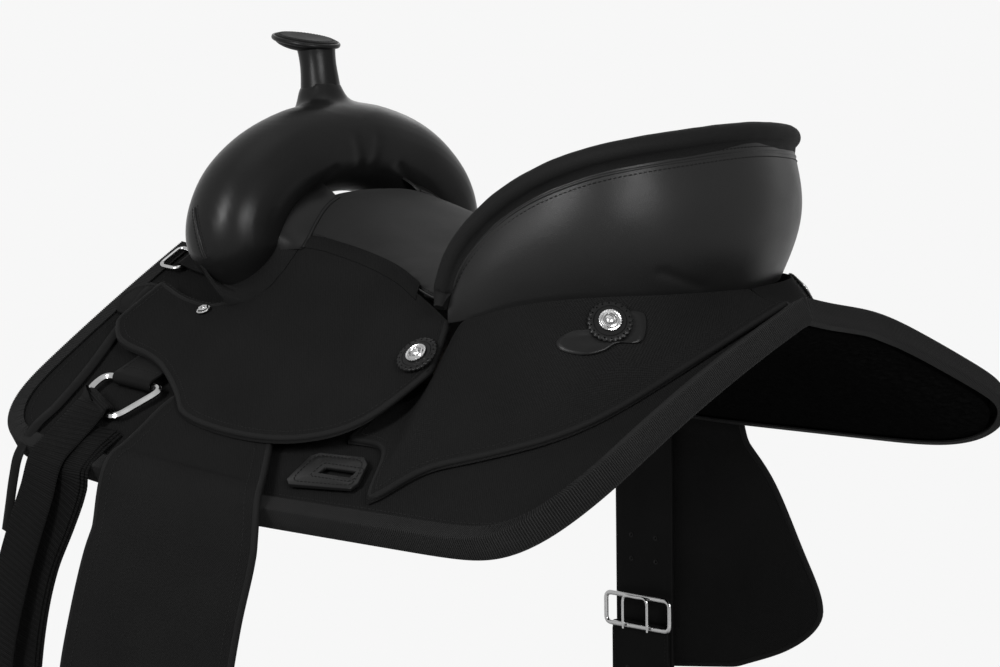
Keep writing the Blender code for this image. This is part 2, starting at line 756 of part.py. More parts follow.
def build_dees():
    for label, side in SIDES:
        bar, along, down, normal = dee_frame(side)
        corners = [bar + along * a + down * d for a, d in DEE_CORNERS]
        loop = rounded_loop(corners, DEE_CORNER_RADIUS, 4)
        dee = round_bar(label + "_front_dee", loop, DEE_BAR, 8, CHROME, closed=True)
        set_origin(dee, bar)
        path = [bar - down * 0.050 + normal * 0.0005, bar - down * 0.022 + normal * 0.002]
        radius = DEE_BAR + CHAPE_SLACK
        for step in range(8):
            angle = radians(mix(112, -110, step / 7))
            path.append(bar + down * (cos(angle) * radius) + normal * (sin(angle) * radius))
        strap(label + "_dee_chape", path, along, CHAPE_WIDTH, CHAPE_THICKNESS, LEATHER)


# The near latigo: ribbed webbing looped over the lower bar, with its folded layers behind it.
LATIGO_HANG = ((0.3425, -0.2195, -0.040), (0.349, -0.226, -0.070), (0.353, -0.243, -0.112),
               (0.354, -0.261, -0.155), (0.353, -0.280, -0.205), (0.350, -0.294, -0.260),
               (0.346, -0.301, -0.320), (0.344, -0.303, -0.370))
LATIGO_FOLD = ((0.3365, -0.197, -0.060), (0.3390, -0.213, -0.090), (0.3400, -0.237, -0.132),
               (0.3390, -0.256, -0.180), (0.3370, -0.271, -0.240), (0.3350, -0.281, -0.320))


def build_webbing():
    middle, run, pull, normal = dee_low_bar(1)
    radius = DEE_BAR + WEBBING_THICKNESS / 2 + WEBBING_SLACK
    path = []
    across = []
    for step in range(8):
        angle = radians(mix(190, 40, step / 7))
        path.append(middle + pull * (cos(angle) * radius) + normal * (sin(angle) * radius))
        across.append(run)
    for x, y, lift, turn in ((0.302, -0.2205, 0.0110, 0.5), (0.323, -0.2190, 0.0092, 1.0)):
        path.append(over_skirt(x, y, 1, lift))
        across.append(run.lerp(skirt_tilt(x, y, 1), turn))
    for point in LATIGO_HANG:
        path.append(Vector(point))
        across.append(Vector((0.0, 1.0, -0.12)))
    latigo = strap("near_latigo", path, across, WEBBING_WIDTH, WEBBING_THICKNESS, WEBBING)
    set_origin(latigo, middle)
    fold = strap("near_latigo_fold", [Vector(point) for point in LATIGO_FOLD], Vector((0.0, 1.0, -0.12)),
                 WEBBING_WIDTH, FOLD_THICKNESS, WEBBING)
    set_origin(fold, middle)


# The fender bends over the skirt's edge. Its upper part stays, and its lower part swings out
# about the outer face of the bend. The fold hides the 1 mm between them.
FENDER_TOP = {"near": (((0.238, -0.146), (0.262, -0.152), (0.300, -0.148), (0.334, -0.145)),
                       ((0.238, -0.052), (0.262, -0.020), (0.300, 0.014), (0.334, 0.042))),
              "off": (((0.238, -0.150), (0.262, -0.150), (0.300, -0.146), (0.334, -0.146)),
                      ((0.238, -0.052), (0.262, -0.034), (0.300, -0.012), (0.334, 0.010)))}
FENDER_HANG = {"near": (((-0.148, FOLD_Z), (-0.163, -0.116), (-0.182, -0.165), (-0.200, -0.222),
                         (-0.211, -0.285), (-0.207, -0.345), (-0.168, -0.385)),
                        ((0.049, FOLD_Z), (0.043, -0.108), (0.027, -0.155), (0.012, -0.215),
                         (0.003, -0.280), (-0.014, -0.340), (-0.072, -0.385))),
               "off": (((-0.143, FOLD_Z), (-0.140, -0.130), (-0.138, -0.190), (-0.137, -0.250),
                        (-0.134, -0.290), (-0.120, -0.322), (-0.080, -0.335)),
                       ((0.022, FOLD_Z), (0.056, -0.128), (0.089, -0.190), (0.113, -0.240),
                        (0.108, -0.268), (0.072, -0.296), (0.010, -0.322)))}


def fold_axis(side):
    # The line, along y, that the hanging fender and leather swing out about.
    return Vector((side * (FENDER_X + FENDER_THICKNESS + 0.0006), LEATHER_Y, FOLD_Z + 0.0006))


def fender_lift(x):
    return FENDER_LIFT + 0.0018 * ease((x - 0.290) / 0.040)


def build_fenders():
    for label, side in SIDES:
        tops = []
        for pairs in FENDER_TOP[label]:
            line = [over_skirt(x, y, side, fender_lift(x)) for x, y in pairs]
            end = FENDER_HANG[label][len(tops)][0]
            line.append(Vector((side * (FENDER_X - 0.002), end[0], FOLD_Z + 0.016)))
            line.append(Vector((side * FENDER_X, end[0], FOLD_Z + 0.0012)))
            tops.append(curve(line, 11))
        hangs = [curve([(side * FENDER_X, y, z) for y, z in pairs], 15) for pairs in FENDER_HANG[label]]
        for name, pair, on_skirt in (("_fender_top", tops, 7), ("_fender", hangs, 0)):
            inner = []
            for row, (front, rear) in enumerate(zip(*pair)):
                line = []
                for column in range(6):
                    point = front.lerp(rear, column / 5)
                    if row < on_skirt:
                        point.z = skirt_top(point.x, point.y) + fender_lift(abs(point.x))
                    line.append(point)
                inner.append(line)
            normals = grid_normals(inner)
            flip = -1 if normals[1][2].z + normals[1][2].x * side < 0 else 1
            outer = moved_grid(inner, normals, FENDER_THICKNESS * flip)
            fender = shell(label + name, outer, inner, CORDURA)
            if name == "_fender":
                set_origin(fender, fold_axis(side))


def skirt_tilt(x, y, side):
    # The direction to the rear that follows the skirt's rise.
    step = 0.02
    rise = skirt_top(side * x, y + step) - skirt_top(side * x, y - step)
    return Vector((0, 2 * step, rise)).normalized()


def build_leathers():
    level = Vector((0, 1, 0))
    for label, side in SIDES:
        path = []
        across = []
        for x in (0.236, 0.258, 0.280, 0.302, 0.318, 0.3326):
            path.append(over_skirt(x, LEATHER_Y, side, LEATHER_LIFT + 0.0012 * ease((x - 0.300) / 0.030)))
            across.append(skirt_tilt(x, LEATHER_Y, side))
        for x, z in ((0.3364, FOLD_Z + 0.020), (HANGING_X, FOLD_Z + 0.0012)):
            path.append(Vector((side * x, LEATHER_Y, z)))
            across.append(level)
        strap(label + "_leather_top", path, across, STIRRUP_LEATHER_WIDTH, LEATHER_THICKNESS, LEATHER)
        path = [Vector((side * HANGING_X, LEATHER_Y, z)) for z in (FOLD_Z, -0.200, -0.300, -0.400)]
        path.append(Vector((side * (HANGING_X + 0.002), LEATHER_Y, -0.450)))
        for step in range(8):
            angle = radians(mix(20, -200, step / 7))
            path.append(Vector((side * (STIRRUP_PIN_X + cos(angle) * LOOP_RADIUS), LEATHER_Y,
                                STIRRUP_PIN_Z + sin(angle) * LOOP_RADIUS)))
        for drop, z in ((0.0085, -0.440), (0.0075, -0.380), (0.0075, -0.290)):
            path.append(Vector((side * (HANGING_X - drop), LEATHER_Y, z)))
        leather = strap(label + "_stirrup_leather", path, level, STIRRUP_LEATHER_WIDTH, LEATHER_THICKNESS,
                        LEATHER)
        set_origin(leather, fold_axis(side))


# The two-tongue buckle lies on the inner face of the stirrup leather.
BUCKLE_Z = -0.262
BUCKLE_HEIGHT = 0.032
BUCKLE_BAR = 0.0022
BUCKLE_CORNER = 0.007
TONGUE_RADIUS = 0.0017


def staple(name, path, radius, face):
    # Round bar bent in the plane that has the given normal.
    rings = []
    for index, point in enumerate(path):
        along = (path[min(index + 1, len(path) - 1)] - path[max(index - 1, 0)]).normalized()
        up = along.cross(face).normalized()
        rings.append(circle(point, face, up, radius, 8))
    return loft(name, rings, CHROME)


def build_buckles():
    for label, side in SIDES:
        x = side * (HANGING_X - 0.0125)
        half = STIRRUP_LEATHER_WIDTH / 2 + 0.005
        low = BUCKLE_Z - BUCKLE_HEIGHT
        pairs = ((-half, BUCKLE_Z), (half, BUCKLE_Z), (half, low), (-half, low))
        loop = rounded_loop([Vector((x, LEATHER_Y + y, z)) for y, z in pairs], BUCKLE_CORNER, 3)
        frame = round_bar(label + "_buckle_frame", loop, BUCKLE_BAR, 8, CHROME, closed=True)
        set_origin(frame, (x, LEATHER_Y, BUCKLE_Z))
        bar_x = x - side * (BUCKLE_BAR + TONGUE_RADIUS + 0.0005)
        tip = BUCKLE_Z - BUCKLE_HEIGHT - 0.003
        outline = ((-0.016, tip), (-0.016, BUCKLE_Z - 0.003), (-0.013, BUCKLE_Z), (0.013, BUCKLE_Z),
                   (0.016, BUCKLE_Z - 0.003), (0.016, tip))
        path = [Vector((bar_x, LEATHER_Y + y, z)) for y, z in outline]
        tongues = staple(label + "_buckle_tongues", path, TONGUE_RADIUS, Vector((1, 0, 0)))
        set_origin(tongues, (x, LEATHER_Y, BUCKLE_Z))


def build_stirrups():
    for label, side in SIDES:
        centre = Vector((side * STIRRUP_PIN_X, LEATHER_Y, STIRRUP_PIN_Z))
        ends = ((STIRRUP_PIN_RADIUS, -STIRRUP_PIN_HALF), (STIRRUP_PIN_RADIUS, STIRRUP_PIN_HALF))
        pin = turned(label + "_stirrup_pin", ends, centre, (0, 1, 0), CHROME, 12)
        set_origin(pin, centre)
        outline = ((-0.048, 0.012), (-0.056, -0.020), (-0.066, -0.068), (-0.070, -0.116), (-0.062, -0.132),
                   (0.062, -0.132), (0.070, -0.116), (0.066, -0.068), (0.056, -0.020), (0.048, 0.012))
        path = [centre + Vector((0, y, z)) for y, z in outline]
        bow = strap(label + "_stirrup", path, Vector((1, 0, 0)), STIRRUP_DEPTH, STIRRUP_BOW, LEATHER)
        set_origin(bow, centre)


# Small rings for a breast collar in front of the swell, with their leather tabs.
BREAST_LIFT = 0.0074
BREAST_BAR = 0.0020
BREAST_CORNER = 0.007
TAB_WIDTH = 0.019
TAB_THICKNESS = 0.0020
TAB_LOOP = 0.0038


def build_breast_dees():
    for label, side in SIDES:
        place, along, down, normal = skirt_frame(0.108, -0.296, side, BREAST_LIFT)
        pairs = ((-0.014, 0), (0.014, 0), (0.016, 0.022), (-0.016, 0.022))
        loop = rounded_loop([place + down * a - along * d for a, d in pairs], BREAST_CORNER, 3)
        ring = round_bar(label + "_breast_dee", loop, BREAST_BAR, 8, CHROME, closed=True)
        set_origin(ring, place)
        path = [place + along * 0.034 - normal * 0.0008, place + along * 0.012]
        for step in range(7):
            angle = radians(mix(70, 290, step / 6))
            path.append(place + along * (cos(angle) * TAB_LOOP) + normal * (sin(angle) * TAB_LOOP))
        strap(label + "_breast_tab", path, down, TAB_WIDTH, TAB_THICKNESS, LEATHER)


# The latigo keeper, a rounded slotted tab in front of the near dee.
def build_keeper():
    frame = skirt_frame(0.160, -0.298, 1, 0.0)
    outline = [(0.020, 0.024), (0.020, -0.024), (-0.012, -0.024), (-0.024, -0.014), (-0.028, 0.0),
               (-0.024, 0.014), (-0.012, 0.024)]
    slotted_plate("near_latigo_keeper", frame, outline, box_slot(0.0035, 0.014), 0.0020, 0.0030, LEATHER)


build_skirts()
build_rear_bindings()
build_cantle()
build_horn(build_swell())
build_seat()
build_bars()
build_jockeys()
build_trim()
build_rear_plates()
build_dees()
build_webbing()
build_fenders()
build_leathers()
build_buckles()
build_stirrups()
build_breast_dees()
build_keeper()
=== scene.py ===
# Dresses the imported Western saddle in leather, cloth and chrome, and sets up the studio around it.
import math
import bmesh
import bpy
from mathutils import Matrix, Vector, noise
from mathutils.bvhtree import BVHTree


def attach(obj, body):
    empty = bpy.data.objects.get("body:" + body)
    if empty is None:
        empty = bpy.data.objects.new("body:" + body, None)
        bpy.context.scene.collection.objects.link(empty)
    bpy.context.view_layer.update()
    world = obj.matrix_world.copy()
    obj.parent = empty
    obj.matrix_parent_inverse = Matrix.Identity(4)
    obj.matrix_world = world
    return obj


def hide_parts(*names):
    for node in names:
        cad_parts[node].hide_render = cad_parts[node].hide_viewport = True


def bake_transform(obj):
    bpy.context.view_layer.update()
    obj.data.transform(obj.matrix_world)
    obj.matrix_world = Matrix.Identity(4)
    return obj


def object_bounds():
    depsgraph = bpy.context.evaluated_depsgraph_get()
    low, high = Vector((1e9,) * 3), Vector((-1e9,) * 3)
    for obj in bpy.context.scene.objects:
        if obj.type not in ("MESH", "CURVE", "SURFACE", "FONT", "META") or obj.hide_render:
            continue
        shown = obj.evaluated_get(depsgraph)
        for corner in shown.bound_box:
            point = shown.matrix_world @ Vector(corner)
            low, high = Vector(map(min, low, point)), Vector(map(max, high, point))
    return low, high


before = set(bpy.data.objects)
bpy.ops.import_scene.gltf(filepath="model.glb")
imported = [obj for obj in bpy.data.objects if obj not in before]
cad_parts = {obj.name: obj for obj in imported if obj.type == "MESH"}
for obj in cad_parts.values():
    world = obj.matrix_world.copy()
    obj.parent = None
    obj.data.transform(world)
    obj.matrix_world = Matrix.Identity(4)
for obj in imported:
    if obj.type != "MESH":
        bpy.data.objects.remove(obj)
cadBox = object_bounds()
scene = bpy.context.scene
sides = (("near", 1), ("off", -1))
print("frame loaded")

# The camera stands behind the saddle on its near side; focal and centre are in the photograph's pixels.
camera = {"place": (1.67059, 1.49180, 0.30745), "azimuth": 48.278, "elevation": 6.557, "roll": -0.769,
          "focal": 2494.2, "centre": (499.2, 334.8), "picture": (1000, 667)}


def cameraAxes():
    azimuth, elevation, roll = (math.radians(camera[key]) for key in ("azimuth", "elevation", "roll"))
    back = Vector((math.sin(azimuth) * math.cos(elevation), math.cos(azimuth) * math.cos(elevation),
                   math.sin(elevation)))
    right = (-back).cross(Vector((0, 0, 1))).normalized()
    up = right.cross(-back)
    return (right * math.cos(roll) + up * math.sin(roll), up * math.cos(roll) - right * math.sin(roll), back)


def setCamera():
    right, up, back = cameraAxes()
    wide, tall = camera["picture"]
    lens = bpy.data.cameras.new("camera")
    lens.sensor_width = 36
    lens.lens = camera["focal"] * lens.sensor_width / wide
    lens.shift_x = (wide / 2 - camera["centre"][0]) / wide
    lens.shift_y = (camera["centre"][1] - tall / 2) / wide
    lens.clip_end = 30
    eye = bpy.data.objects.new("camera", lens)
    scene.collection.objects.link(eye)
    eye.matrix_world = (Matrix.Translation(camera["place"])
                        @ Matrix((right, up, back)).transposed().to_4x4())
    scene.camera = eye


def atPixel(tree, u, v):
    # Where the photograph's pixel falls on a surface, with the surface's normal.
    right, up, back = cameraAxes()
    ray = (right * (u - camera["centre"][0]) + up * (camera["centre"][1] - v) - back * camera["focal"])
    place, normal, _, _ = tree.ray_cast(Vector(camera["place"]), ray.normalized())
    return place, normal


class Value:
    # A node's output, so that shader maths reads as plain sums.
    def __init__(self, tree, out):
        self.tree = tree
        self.out = out

    def maths(self, operation, *others):
        node = self.tree.nodes.new("ShaderNodeMath")
        node.operation = operation
        for slot, given in zip(node.inputs, (self, *others)):
            joinSocket(self.tree, slot, given)
        return Value(self.tree, node.outputs[0])

    def __add__(self, other):
        return self.maths("ADD", other)

    def __sub__(self, other):
        return self.maths("SUBTRACT", other)

    def __rsub__(self, other):
        return self.maths("MULTIPLY_ADD", -1.0, other)

    def __mul__(self, other):
        return self.maths("MULTIPLY", other)

    def sine(self):
        return self.maths("SINE")

    __radd__ = __add__
    __rmul__ = __mul__


def joinSocket(tree, slot, given):
    if isinstance(given, Value):
        tree.links.new(given.out, slot)
    else:
        slot.default_value = given


class Finish:
    # A material with its Principled shader and the one method that adds any node.
    def __init__(self, name, constants):
        self.material = bpy.data.materials.new(name)
        self.material.use_nodes = True
        self.tree = self.material.node_tree
        self.shader = self.tree.nodes["Principled BSDF"]
        for socket, value in constants.items():
            self.shader.inputs[socket].default_value = value

    def node(self, kind, settings=None, values=None, out=0):
        made = self.tree.nodes.new(kind)
        for key, value in (settings or {}).items():
            if key == "stops":
                for element, (place, shade) in zip(made.color_ramp.elements, value):
                    element.position = place
                    element.color = shade
            else:
                setattr(made, key, value)
        for slot, given in (values or {}).items():
            joinSocket(self.tree, made.inputs[slot], given)
        return Value(self.tree, made.outputs[out])

    def place(self, kind="Object", scale=(1, 1, 1)):
        spot = self.node("ShaderNodeTexCoord", out=kind)
        return self.node("ShaderNodeMapping", None, {"Vector": spot, "Scale": scale})

    def noise(self, place, scale, detail=3.0):
        return self.node("ShaderNodeTexNoise", None, {"Vector": place, "Scale": scale, "Detail": detail})

    def blend(self, factor, first, second):
        return self.node("ShaderNodeMix", {"data_type": "RGBA"}, {0: factor, 6: first, 7: second}, out=2)

    def set(self, socket, value):
        joinSocket(self.tree, self.shader.inputs[socket], value)

    def bump(self, height, strength, distance):
        self.set("Normal", self.node("ShaderNodeBump", None,
                                     {"Height": height, "Strength": strength, "Distance": distance}))


def grey(level):
    return (level, level, level, 1.0)


def leatherFinish(name, look):
    # Pebbled grain of cells and fine noise, with broad patches of shade and polish.
    made = Finish(name, look["constants"])
    spot = made.place("Object", look.get("stretch", (1, 1, 1)))
    cells = made.node("ShaderNodeTexVoronoi", {"feature": "DISTANCE_TO_EDGE"},
                      {"Vector": spot, "Scale": look["cells"]})
    fine = made.noise(spot, look["cells"] * 1.6, 4.0)
    broad = made.noise(made.place(), look["patches"], 2.0)
    worn = made.noise(made.place(), look["patches"] * 5, 5.0)
    shade = broad * 0.7 + fine * 0.3
    made.set("Base Color", made.blend(shade, grey(look["dark"]), grey(look["light"])))
    made.set("Roughness", look["rough"] + (worn - 0.5) * look["polish"] + (fine - 0.5) * 0.08)
    made.bump(cells * 0.9 + fine * 0.6, look["grain"], 0.0004)
    return made.material


def clothFinish(name, look):
    # Plain weave on the piece's own map, with slubs in the yarn.
    made = Finish(name, look["constants"])
    spot = made.place("UV")
    step = 2 * math.pi / look["pitch"]
    u = made.node("ShaderNodeSeparateXYZ", None, {0: spot}, out=0)
    v = made.node("ShaderNodeSeparateXYZ", None, {0: spot}, out=1)
    weave = (u * step).sine() * (v * step).sine()
    slub = made.noise(spot, 1.4 / look["pitch"], 3.0)
    broad = made.noise(made.place(), 14.0, 3.0)
    shade = weave * 0.3 + slub * 0.9 + broad * 0.4 - 0.4
    made.set("Base Color", made.blend(shade, grey(look["dark"]), grey(look["light"])))
    made.set("Roughness", look["rough"] + (broad - 0.5) * 0.12)
    made.bump(weave * 0.5 + slub, look["grain"], 0.0005)
    return made.material


def ribFinish(name, look):
    # Woven tape: fine warp threads along it, its ribs being in the mesh.
    made = Finish(name, look["constants"])
    spot = made.place("UV")
    threads = (made.node("ShaderNodeSeparateXYZ", None, {0: spot}, out=1) * (2 * math.pi / 0.0011)).sine()
    ribs = (made.node("ShaderNodeSeparateXYZ", None, {0: spot}, out=0) * (2 * math.pi / look["pitch"])).sine()
    worn = made.noise(made.place(), 40.0, 4.0)
    made.set("Base Color", made.blend(ribs * 0.4 + worn * 0.6, grey(look["dark"]), grey(look["light"])))
    made.set("Roughness", look["rough"] + (worn - 0.5) * 0.15)
    made.bump(threads * 0.4 + ribs * 0.7, look["grain"], 0.0005)
    return made.material


def fleeceFinish(name, look):
    # Curled wool in small locks.
    made = Finish(name, look["constants"])
    spot = made.place()
    curls = made.noise(spot, 260.0, 6.0)
    locks = made.node("ShaderNodeTexVoronoi", None, {"Vector": spot, "Scale": 150.0})
    made.set("Base Color", made.blend(curls * 0.7 + locks * 0.3, grey(look["dark"]), grey(look["light"])))
    made.bump(curls + locks * 0.6, 0.9, 0.0015)
    return made.material


def metalFinish(name, look):
    # Plated metal with smears and fine scratches.
    made = Finish(name, look["constants"])
    smears = made.noise(made.place(), 70.0, 5.0)
    scratches = made.noise(made.place("Object", (900.0, 120.0, 900.0)), 1.0, 2.0)
    made.set("Base Color", made.blend(smears, grey(look["dark"]), grey(look["light"])))
    made.set("Roughness", look["rough"] + (smears - 0.4) * 0.12 + (scratches - 0.5) * 0.05)
    made.bump(scratches, 0.04, 0.0002)
    return made.material


def woodFinish(name, look):
    # Dark stained wood with its grain along the saddle.
    made = Finish(name, look["constants"])
    grain = made.noise(made.place("Object", (60.0, 6.0, 60.0)), 1.0, 6.0)
    rings = made.noise(made.place("Object", (14.0, 1.5, 14.0)), 1.0, 2.0)
    made.set("Base Color", made.blend(grain * 0.6 + rings * 0.4, look["dark"], look["light"]))
    made.set("Roughness", 0.6 + (grain - 0.5) * 0.2)
    made.bump(grain, 0.3, 0.0006)
    return made.material


def sheen(specular, amount=0.0):
    return {"Specular IOR Level": specular, "Sheen Weight": amount, "Sheen Roughness": 0.5}


finishes = {
    "smooth": leatherFinish("smoothLeather", {
        "dark": 0.0035, "light": 0.0070, "rough": 0.32, "polish": 0.16, "cells": 950.0, "patches": 9.0,
        "grain": 0.16, "constants": sheen(0.09)}),
    "worn": leatherFinish("wornLeather", {
        "dark": 0.0035, "light": 0.0070, "rough": 0.48, "polish": 0.16, "cells": 950.0, "patches": 9.0,
        "grain": 0.16, "constants": sheen(0.02)}),
    "soft": leatherFinish("softLeather", {
        "dark": 0.0060, "light": 0.0100, "rough": 0.62, "polish": 0.12, "cells": 700.0, "patches": 8.0,
        "grain": 0.22, "constants": sheen(0.06, 0.01)}),
    "grained": leatherFinish("grainedLeather", {
        "dark": 0.0040, "light": 0.0090, "rough": 0.39, "polish": 0.16, "cells": 620.0, "patches": 7.0,
        "grain": 0.30, "stretch": (1.0, 1.0, 2.2), "constants": sheen(0.14)}),
    "strap": leatherFinish("strapLeather", {
        "dark": 0.0030, "light": 0.0070, "rough": 0.50, "polish": 0.18, "cells": 800.0, "patches": 16.0,
        "grain": 0.20, "constants": sheen(0.02)}),
    "cordura": clothFinish("cordura", {
        "dark": 0.0040, "light": 0.0115, "rough": 0.82, "pitch": 0.0021, "grain": 0.55,
        "constants": sheen(0.015)}),
    "binding": clothFinish("bindingCloth", {
        "dark": 0.0025, "light": 0.0065, "rough": 0.72, "pitch": 0.0013, "grain": 0.45,
        "constants": sheen(0.08)}),
    "grosgrain": ribFinish("grosgrain", {
        "dark": 0.0030, "light": 0.0110, "rough": 0.66, "pitch": 0.0021, "grain": 0.5,
        "constants": sheen(0.08)}),
    "webbing": ribFinish("webbing", {
        "dark": 0.0012, "light": 0.0050, "rough": 0.55, "pitch": 0.0019, "grain": 0.5,
        "constants": sheen(0.03)}),
    "fleece": fleeceFinish("fleece", {
        "dark": 0.0010, "light": 0.0035, "constants": {"Roughness": 0.95, **sheen(0.0)}}),
    "chrome": metalFinish("chrome", {
        "dark": 0.34, "light": 0.46, "rough": 0.17, "constants": {"Metallic": 1.0}}),
    "steel": metalFinish("steel", {
        "dark": 0.30, "light": 0.42, "rough": 0.34, "constants": {"Metallic": 1.0}}),
    "thread": leatherFinish("thread", {
        "dark": 0.0040, "light": 0.0095, "rough": 0.62, "polish": 0.1, "cells": 2600.0, "patches": 60.0,
        "grain": 0.5, "constants": sheen(0.05)}),
    "wood": woodFinish("treeWood", {
        "dark": (0.012, 0.010, 0.008, 1), "light": (0.035, 0.027, 0.020, 1), "constants": sheen(0.3)}),
}
print("materials made")


def activate(*pieces):
    if bpy.context.object and bpy.context.object.mode != "OBJECT":
        bpy.ops.object.mode_set(mode="OBJECT")
    bpy.ops.object.select_all(action="DESELECT")
    for piece in pieces:
        piece.select_set(True)
    bpy.context.view_layer.objects.active = pieces[0]


def change(piece, kind, **settings):
    # Adds a modifier and applies it.
    activate(piece)
    modifier = piece.modifiers.new(kind.lower(), kind)
    for key, value in settings.items():
        setattr(modifier, key, value)
    bpy.ops.object.modifier_apply(modifier=modifier.name)
    return piece


def fromBuilder(name, builder):
    bmesh.ops.recalc_face_normals(builder, faces=builder.faces)
    mesh = bpy.data.meshes.new(name)
    builder.to_mesh(mesh)
    builder.free()
    piece = bpy.data.objects.new(name, mesh)
    scene.collection.objects.link(piece)
    return piece


def smoothShade(piece, angle=42):
    activate(piece)
    bpy.ops.object.shade_smooth_by_angle(angle=math.radians(angle))
    return piece


def joined(name, *pieces):
    activate(*pieces)
    if len(pieces) > 1:
        bpy.ops.object.join()
    made = bpy.context.object
    made.name = name
    return made


def dress(piece, look):
    piece.data.materials.clear()
    piece.data.materials.append(finishes[look])
    return piece


def settle(piece, body, slot, *nodes):
    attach(piece, body)
    if nodes:
        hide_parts(*nodes)
    return piece


def copyNode(name, *nodes):
    # The shape of CAD nodes as a new piece, its loose triangles merged and joined into quads.
    builder = bmesh.new()
    for node in nodes:
        builder.from_mesh(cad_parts[node].data)
    bmesh.ops.remove_doubles(builder, verts=builder.verts, dist=0.00002)
    bmesh.ops.join_triangles(builder, faces=builder.faces, angle_face_threshold=math.radians(38),
                             angle_shape_threshold=math.radians(160))
    for layer in list(builder.loops.layers.uv):
        builder.loops.layers.uv.remove(layer)
    return fromBuilder(name, builder)


def creased(piece, angle=38, crease=1.0):
    # Creases the edges that bend more than an angle, so that subdivision keeps them.
    builder = bmesh.new()
    builder.from_mesh(piece.data)
    layer = builder.edges.layers.float.get("crease_edge") or builder.edges.layers.float.new("crease_edge")
    for edge in builder.edges:
        if len(edge.link_faces) == 2 and edge.calc_face_angle(0.0) > math.radians(angle):
            edge[layer] = crease
    builder.to_mesh(piece.data)
    builder.free()
    return piece


def subdivided(piece, levels):
    return change(piece, "SUBSURF", levels=levels, render_levels=levels)


def smoothCopy(name, node, levels=2, angle=38, crease=1.0):
    return smoothShade(subdivided(creased(copyNode(name, node), angle, crease), levels))


def treeOf(piece):
    return BVHTree.FromObject(piece, bpy.context.evaluated_depsgraph_get())


def boxMap(piece):
    # Maps each face in metres on the two axes that it faces least.
    mesh = piece.data
    layer = mesh.uv_layers.active or mesh.uv_layers.new(name="cloth")
    for face in mesh.polygons:
        facing = max(range(3), key=lambda axis: abs(face.normal[axis]))
        first, second = ((1, 2), (0, 2), (0, 1))[facing]
        for corner in face.loop_indices:
            place = mesh.vertices[mesh.loops[corner].vertex_index].co
            layer.data[corner].uv = (place[first], place[second])
    return piece


def spline(points, count, closed=False):
    # Smooth curve through points, by even steps of its parameter.
    total = len(points)
    spans = total if closed else total - 1
    made = []
    for step in range(count):
        place = step / (count if closed else count - 1) * spans
        index = min(int(place), spans - 1)
        t = place - index

        def at(number):
            if closed:
                return points[number % total]
            if number < 0:
                return points[0] * 2 - points[1]
            if number >= total:
                return points[-1] * 2 - points[-2]
            return points[number]

        a, b, c, d = (at(index + shift) for shift in (-1, 0, 1, 2))
        made.append(0.5 * (2 * b + (c - a) * t + (2 * a - 5 * b + 4 * c - d) * t * t
                           + (3 * b - a - 3 * c + d) * t ** 3))
    return made


def evenly(points, spacing, closed=False, partners=None):
    # The path's points at even distances, and a second list followed in the same steps.
    partners = partners or points
    line = list(points) + ([points[0]] if closed else [])
    mates = list(partners) + ([partners[0]] if closed else [])
    lengths = [0.0]
    for first, second in zip(line, line[1:]):
        lengths.append(lengths[-1] + (second - first).length)
    count = max(int(round(lengths[-1] / spacing)), 3)
    made = []
    followed = []
    index = 0
    for step in range(count if closed else count + 1):
        goal = lengths[-1] * step / count
        while index < len(lengths) - 2 and lengths[index + 1] < goal:
            index += 1
        span = lengths[index + 1] - lengths[index]
        share = (goal - lengths[index]) / span if span else 0.0
        made.append(line[index].lerp(line[index + 1], share))
        followed.append(mates[index].lerp(mates[index + 1], share))
    return made, followed


def frameAt(points, normals, index, closed):
    # Along the path, to its left, and up, at one point.
    count = len(points)
    ahead = points[(index + 1) % count] if closed or index + 1 < count else points[index]
    behind = points[index - 1] if closed or index > 0 else points[index]
    along = (ahead - behind).normalized()
    left = normals[index].cross(along).normalized()
    return along, left, along.cross(left).normalized()


def sweep(name, points, normals, profile, closed=False):
    # Carries a closed profile of (left, up) pairs along a path, and maps it in metres.
    # A profile may be a function of the distance along the path.
    builder = bmesh.new()
    layer = builder.loops.layers.uv.new("cloth")
    rows = []
    travelled = 0.0
    distances = []
    for index, point in enumerate(points):
        if index:
            travelled += (point - points[index - 1]).length
        distances.append(travelled)
        _, left, up = frameAt(points, normals, index, closed)
        pairs = profile(travelled) if callable(profile) else profile
        rows.append([builder.verts.new(point + left * a + up * b) for a, b in pairs])
    size = len(rows[0])
    pairs = profile(0.0) if callable(profile) else profile
    girth = [0.0]
    for first, second in zip(pairs, pairs[1:] + pairs[:1]):
        girth.append(girth[-1] + math.dist(first, second))
    spans = list(zip(range(len(rows)), range(1, len(rows))))
    if closed:
        spans.append((len(rows) - 1, 0))
        distances.append(travelled + (points[0] - points[-1]).length)
    for first, second in spans:
        for index in range(size):
            after = (index + 1) % size
            face = builder.faces.new((rows[first][index], rows[first][after], rows[second][after],
                                      rows[second][index]))
            far = distances[second] if second else distances[-1]
            marks = ((distances[first], girth[index]), (distances[first], girth[index + 1]),
                     (far, girth[index + 1]), (far, girth[index]))
            for corner, mark in zip(face.loops, marks):
                corner[layer].uv = mark
    if not closed:
        builder.faces.new(rows[0])
        builder.faces.new(rows[-1])
    return smoothShade(fromBuilder(name, builder), 50)


def roundProfile(radius, sideCount=12, left=0.0, up=0.0, flat=1.0):
    return [(left + radius * math.cos(2 * math.pi * k / sideCount),
             up + radius * flat * math.sin(2 * math.pi * k / sideCount)) for k in range(sideCount)]


def strapProfile(width, thickness, corner=0.35):
    # A flat strap's cross-section with rounded edges.
    half, deep = width / 2, thickness / 2
    soft = thickness * corner
    return [(-half + soft, -deep), (0.0, -deep), (half - soft, -deep), (half, -deep + soft),
            (half, deep - soft), (half - soft, deep), (0.0, deep), (-half + soft, deep), (-half, deep - soft),
            (-half, -deep + soft)]


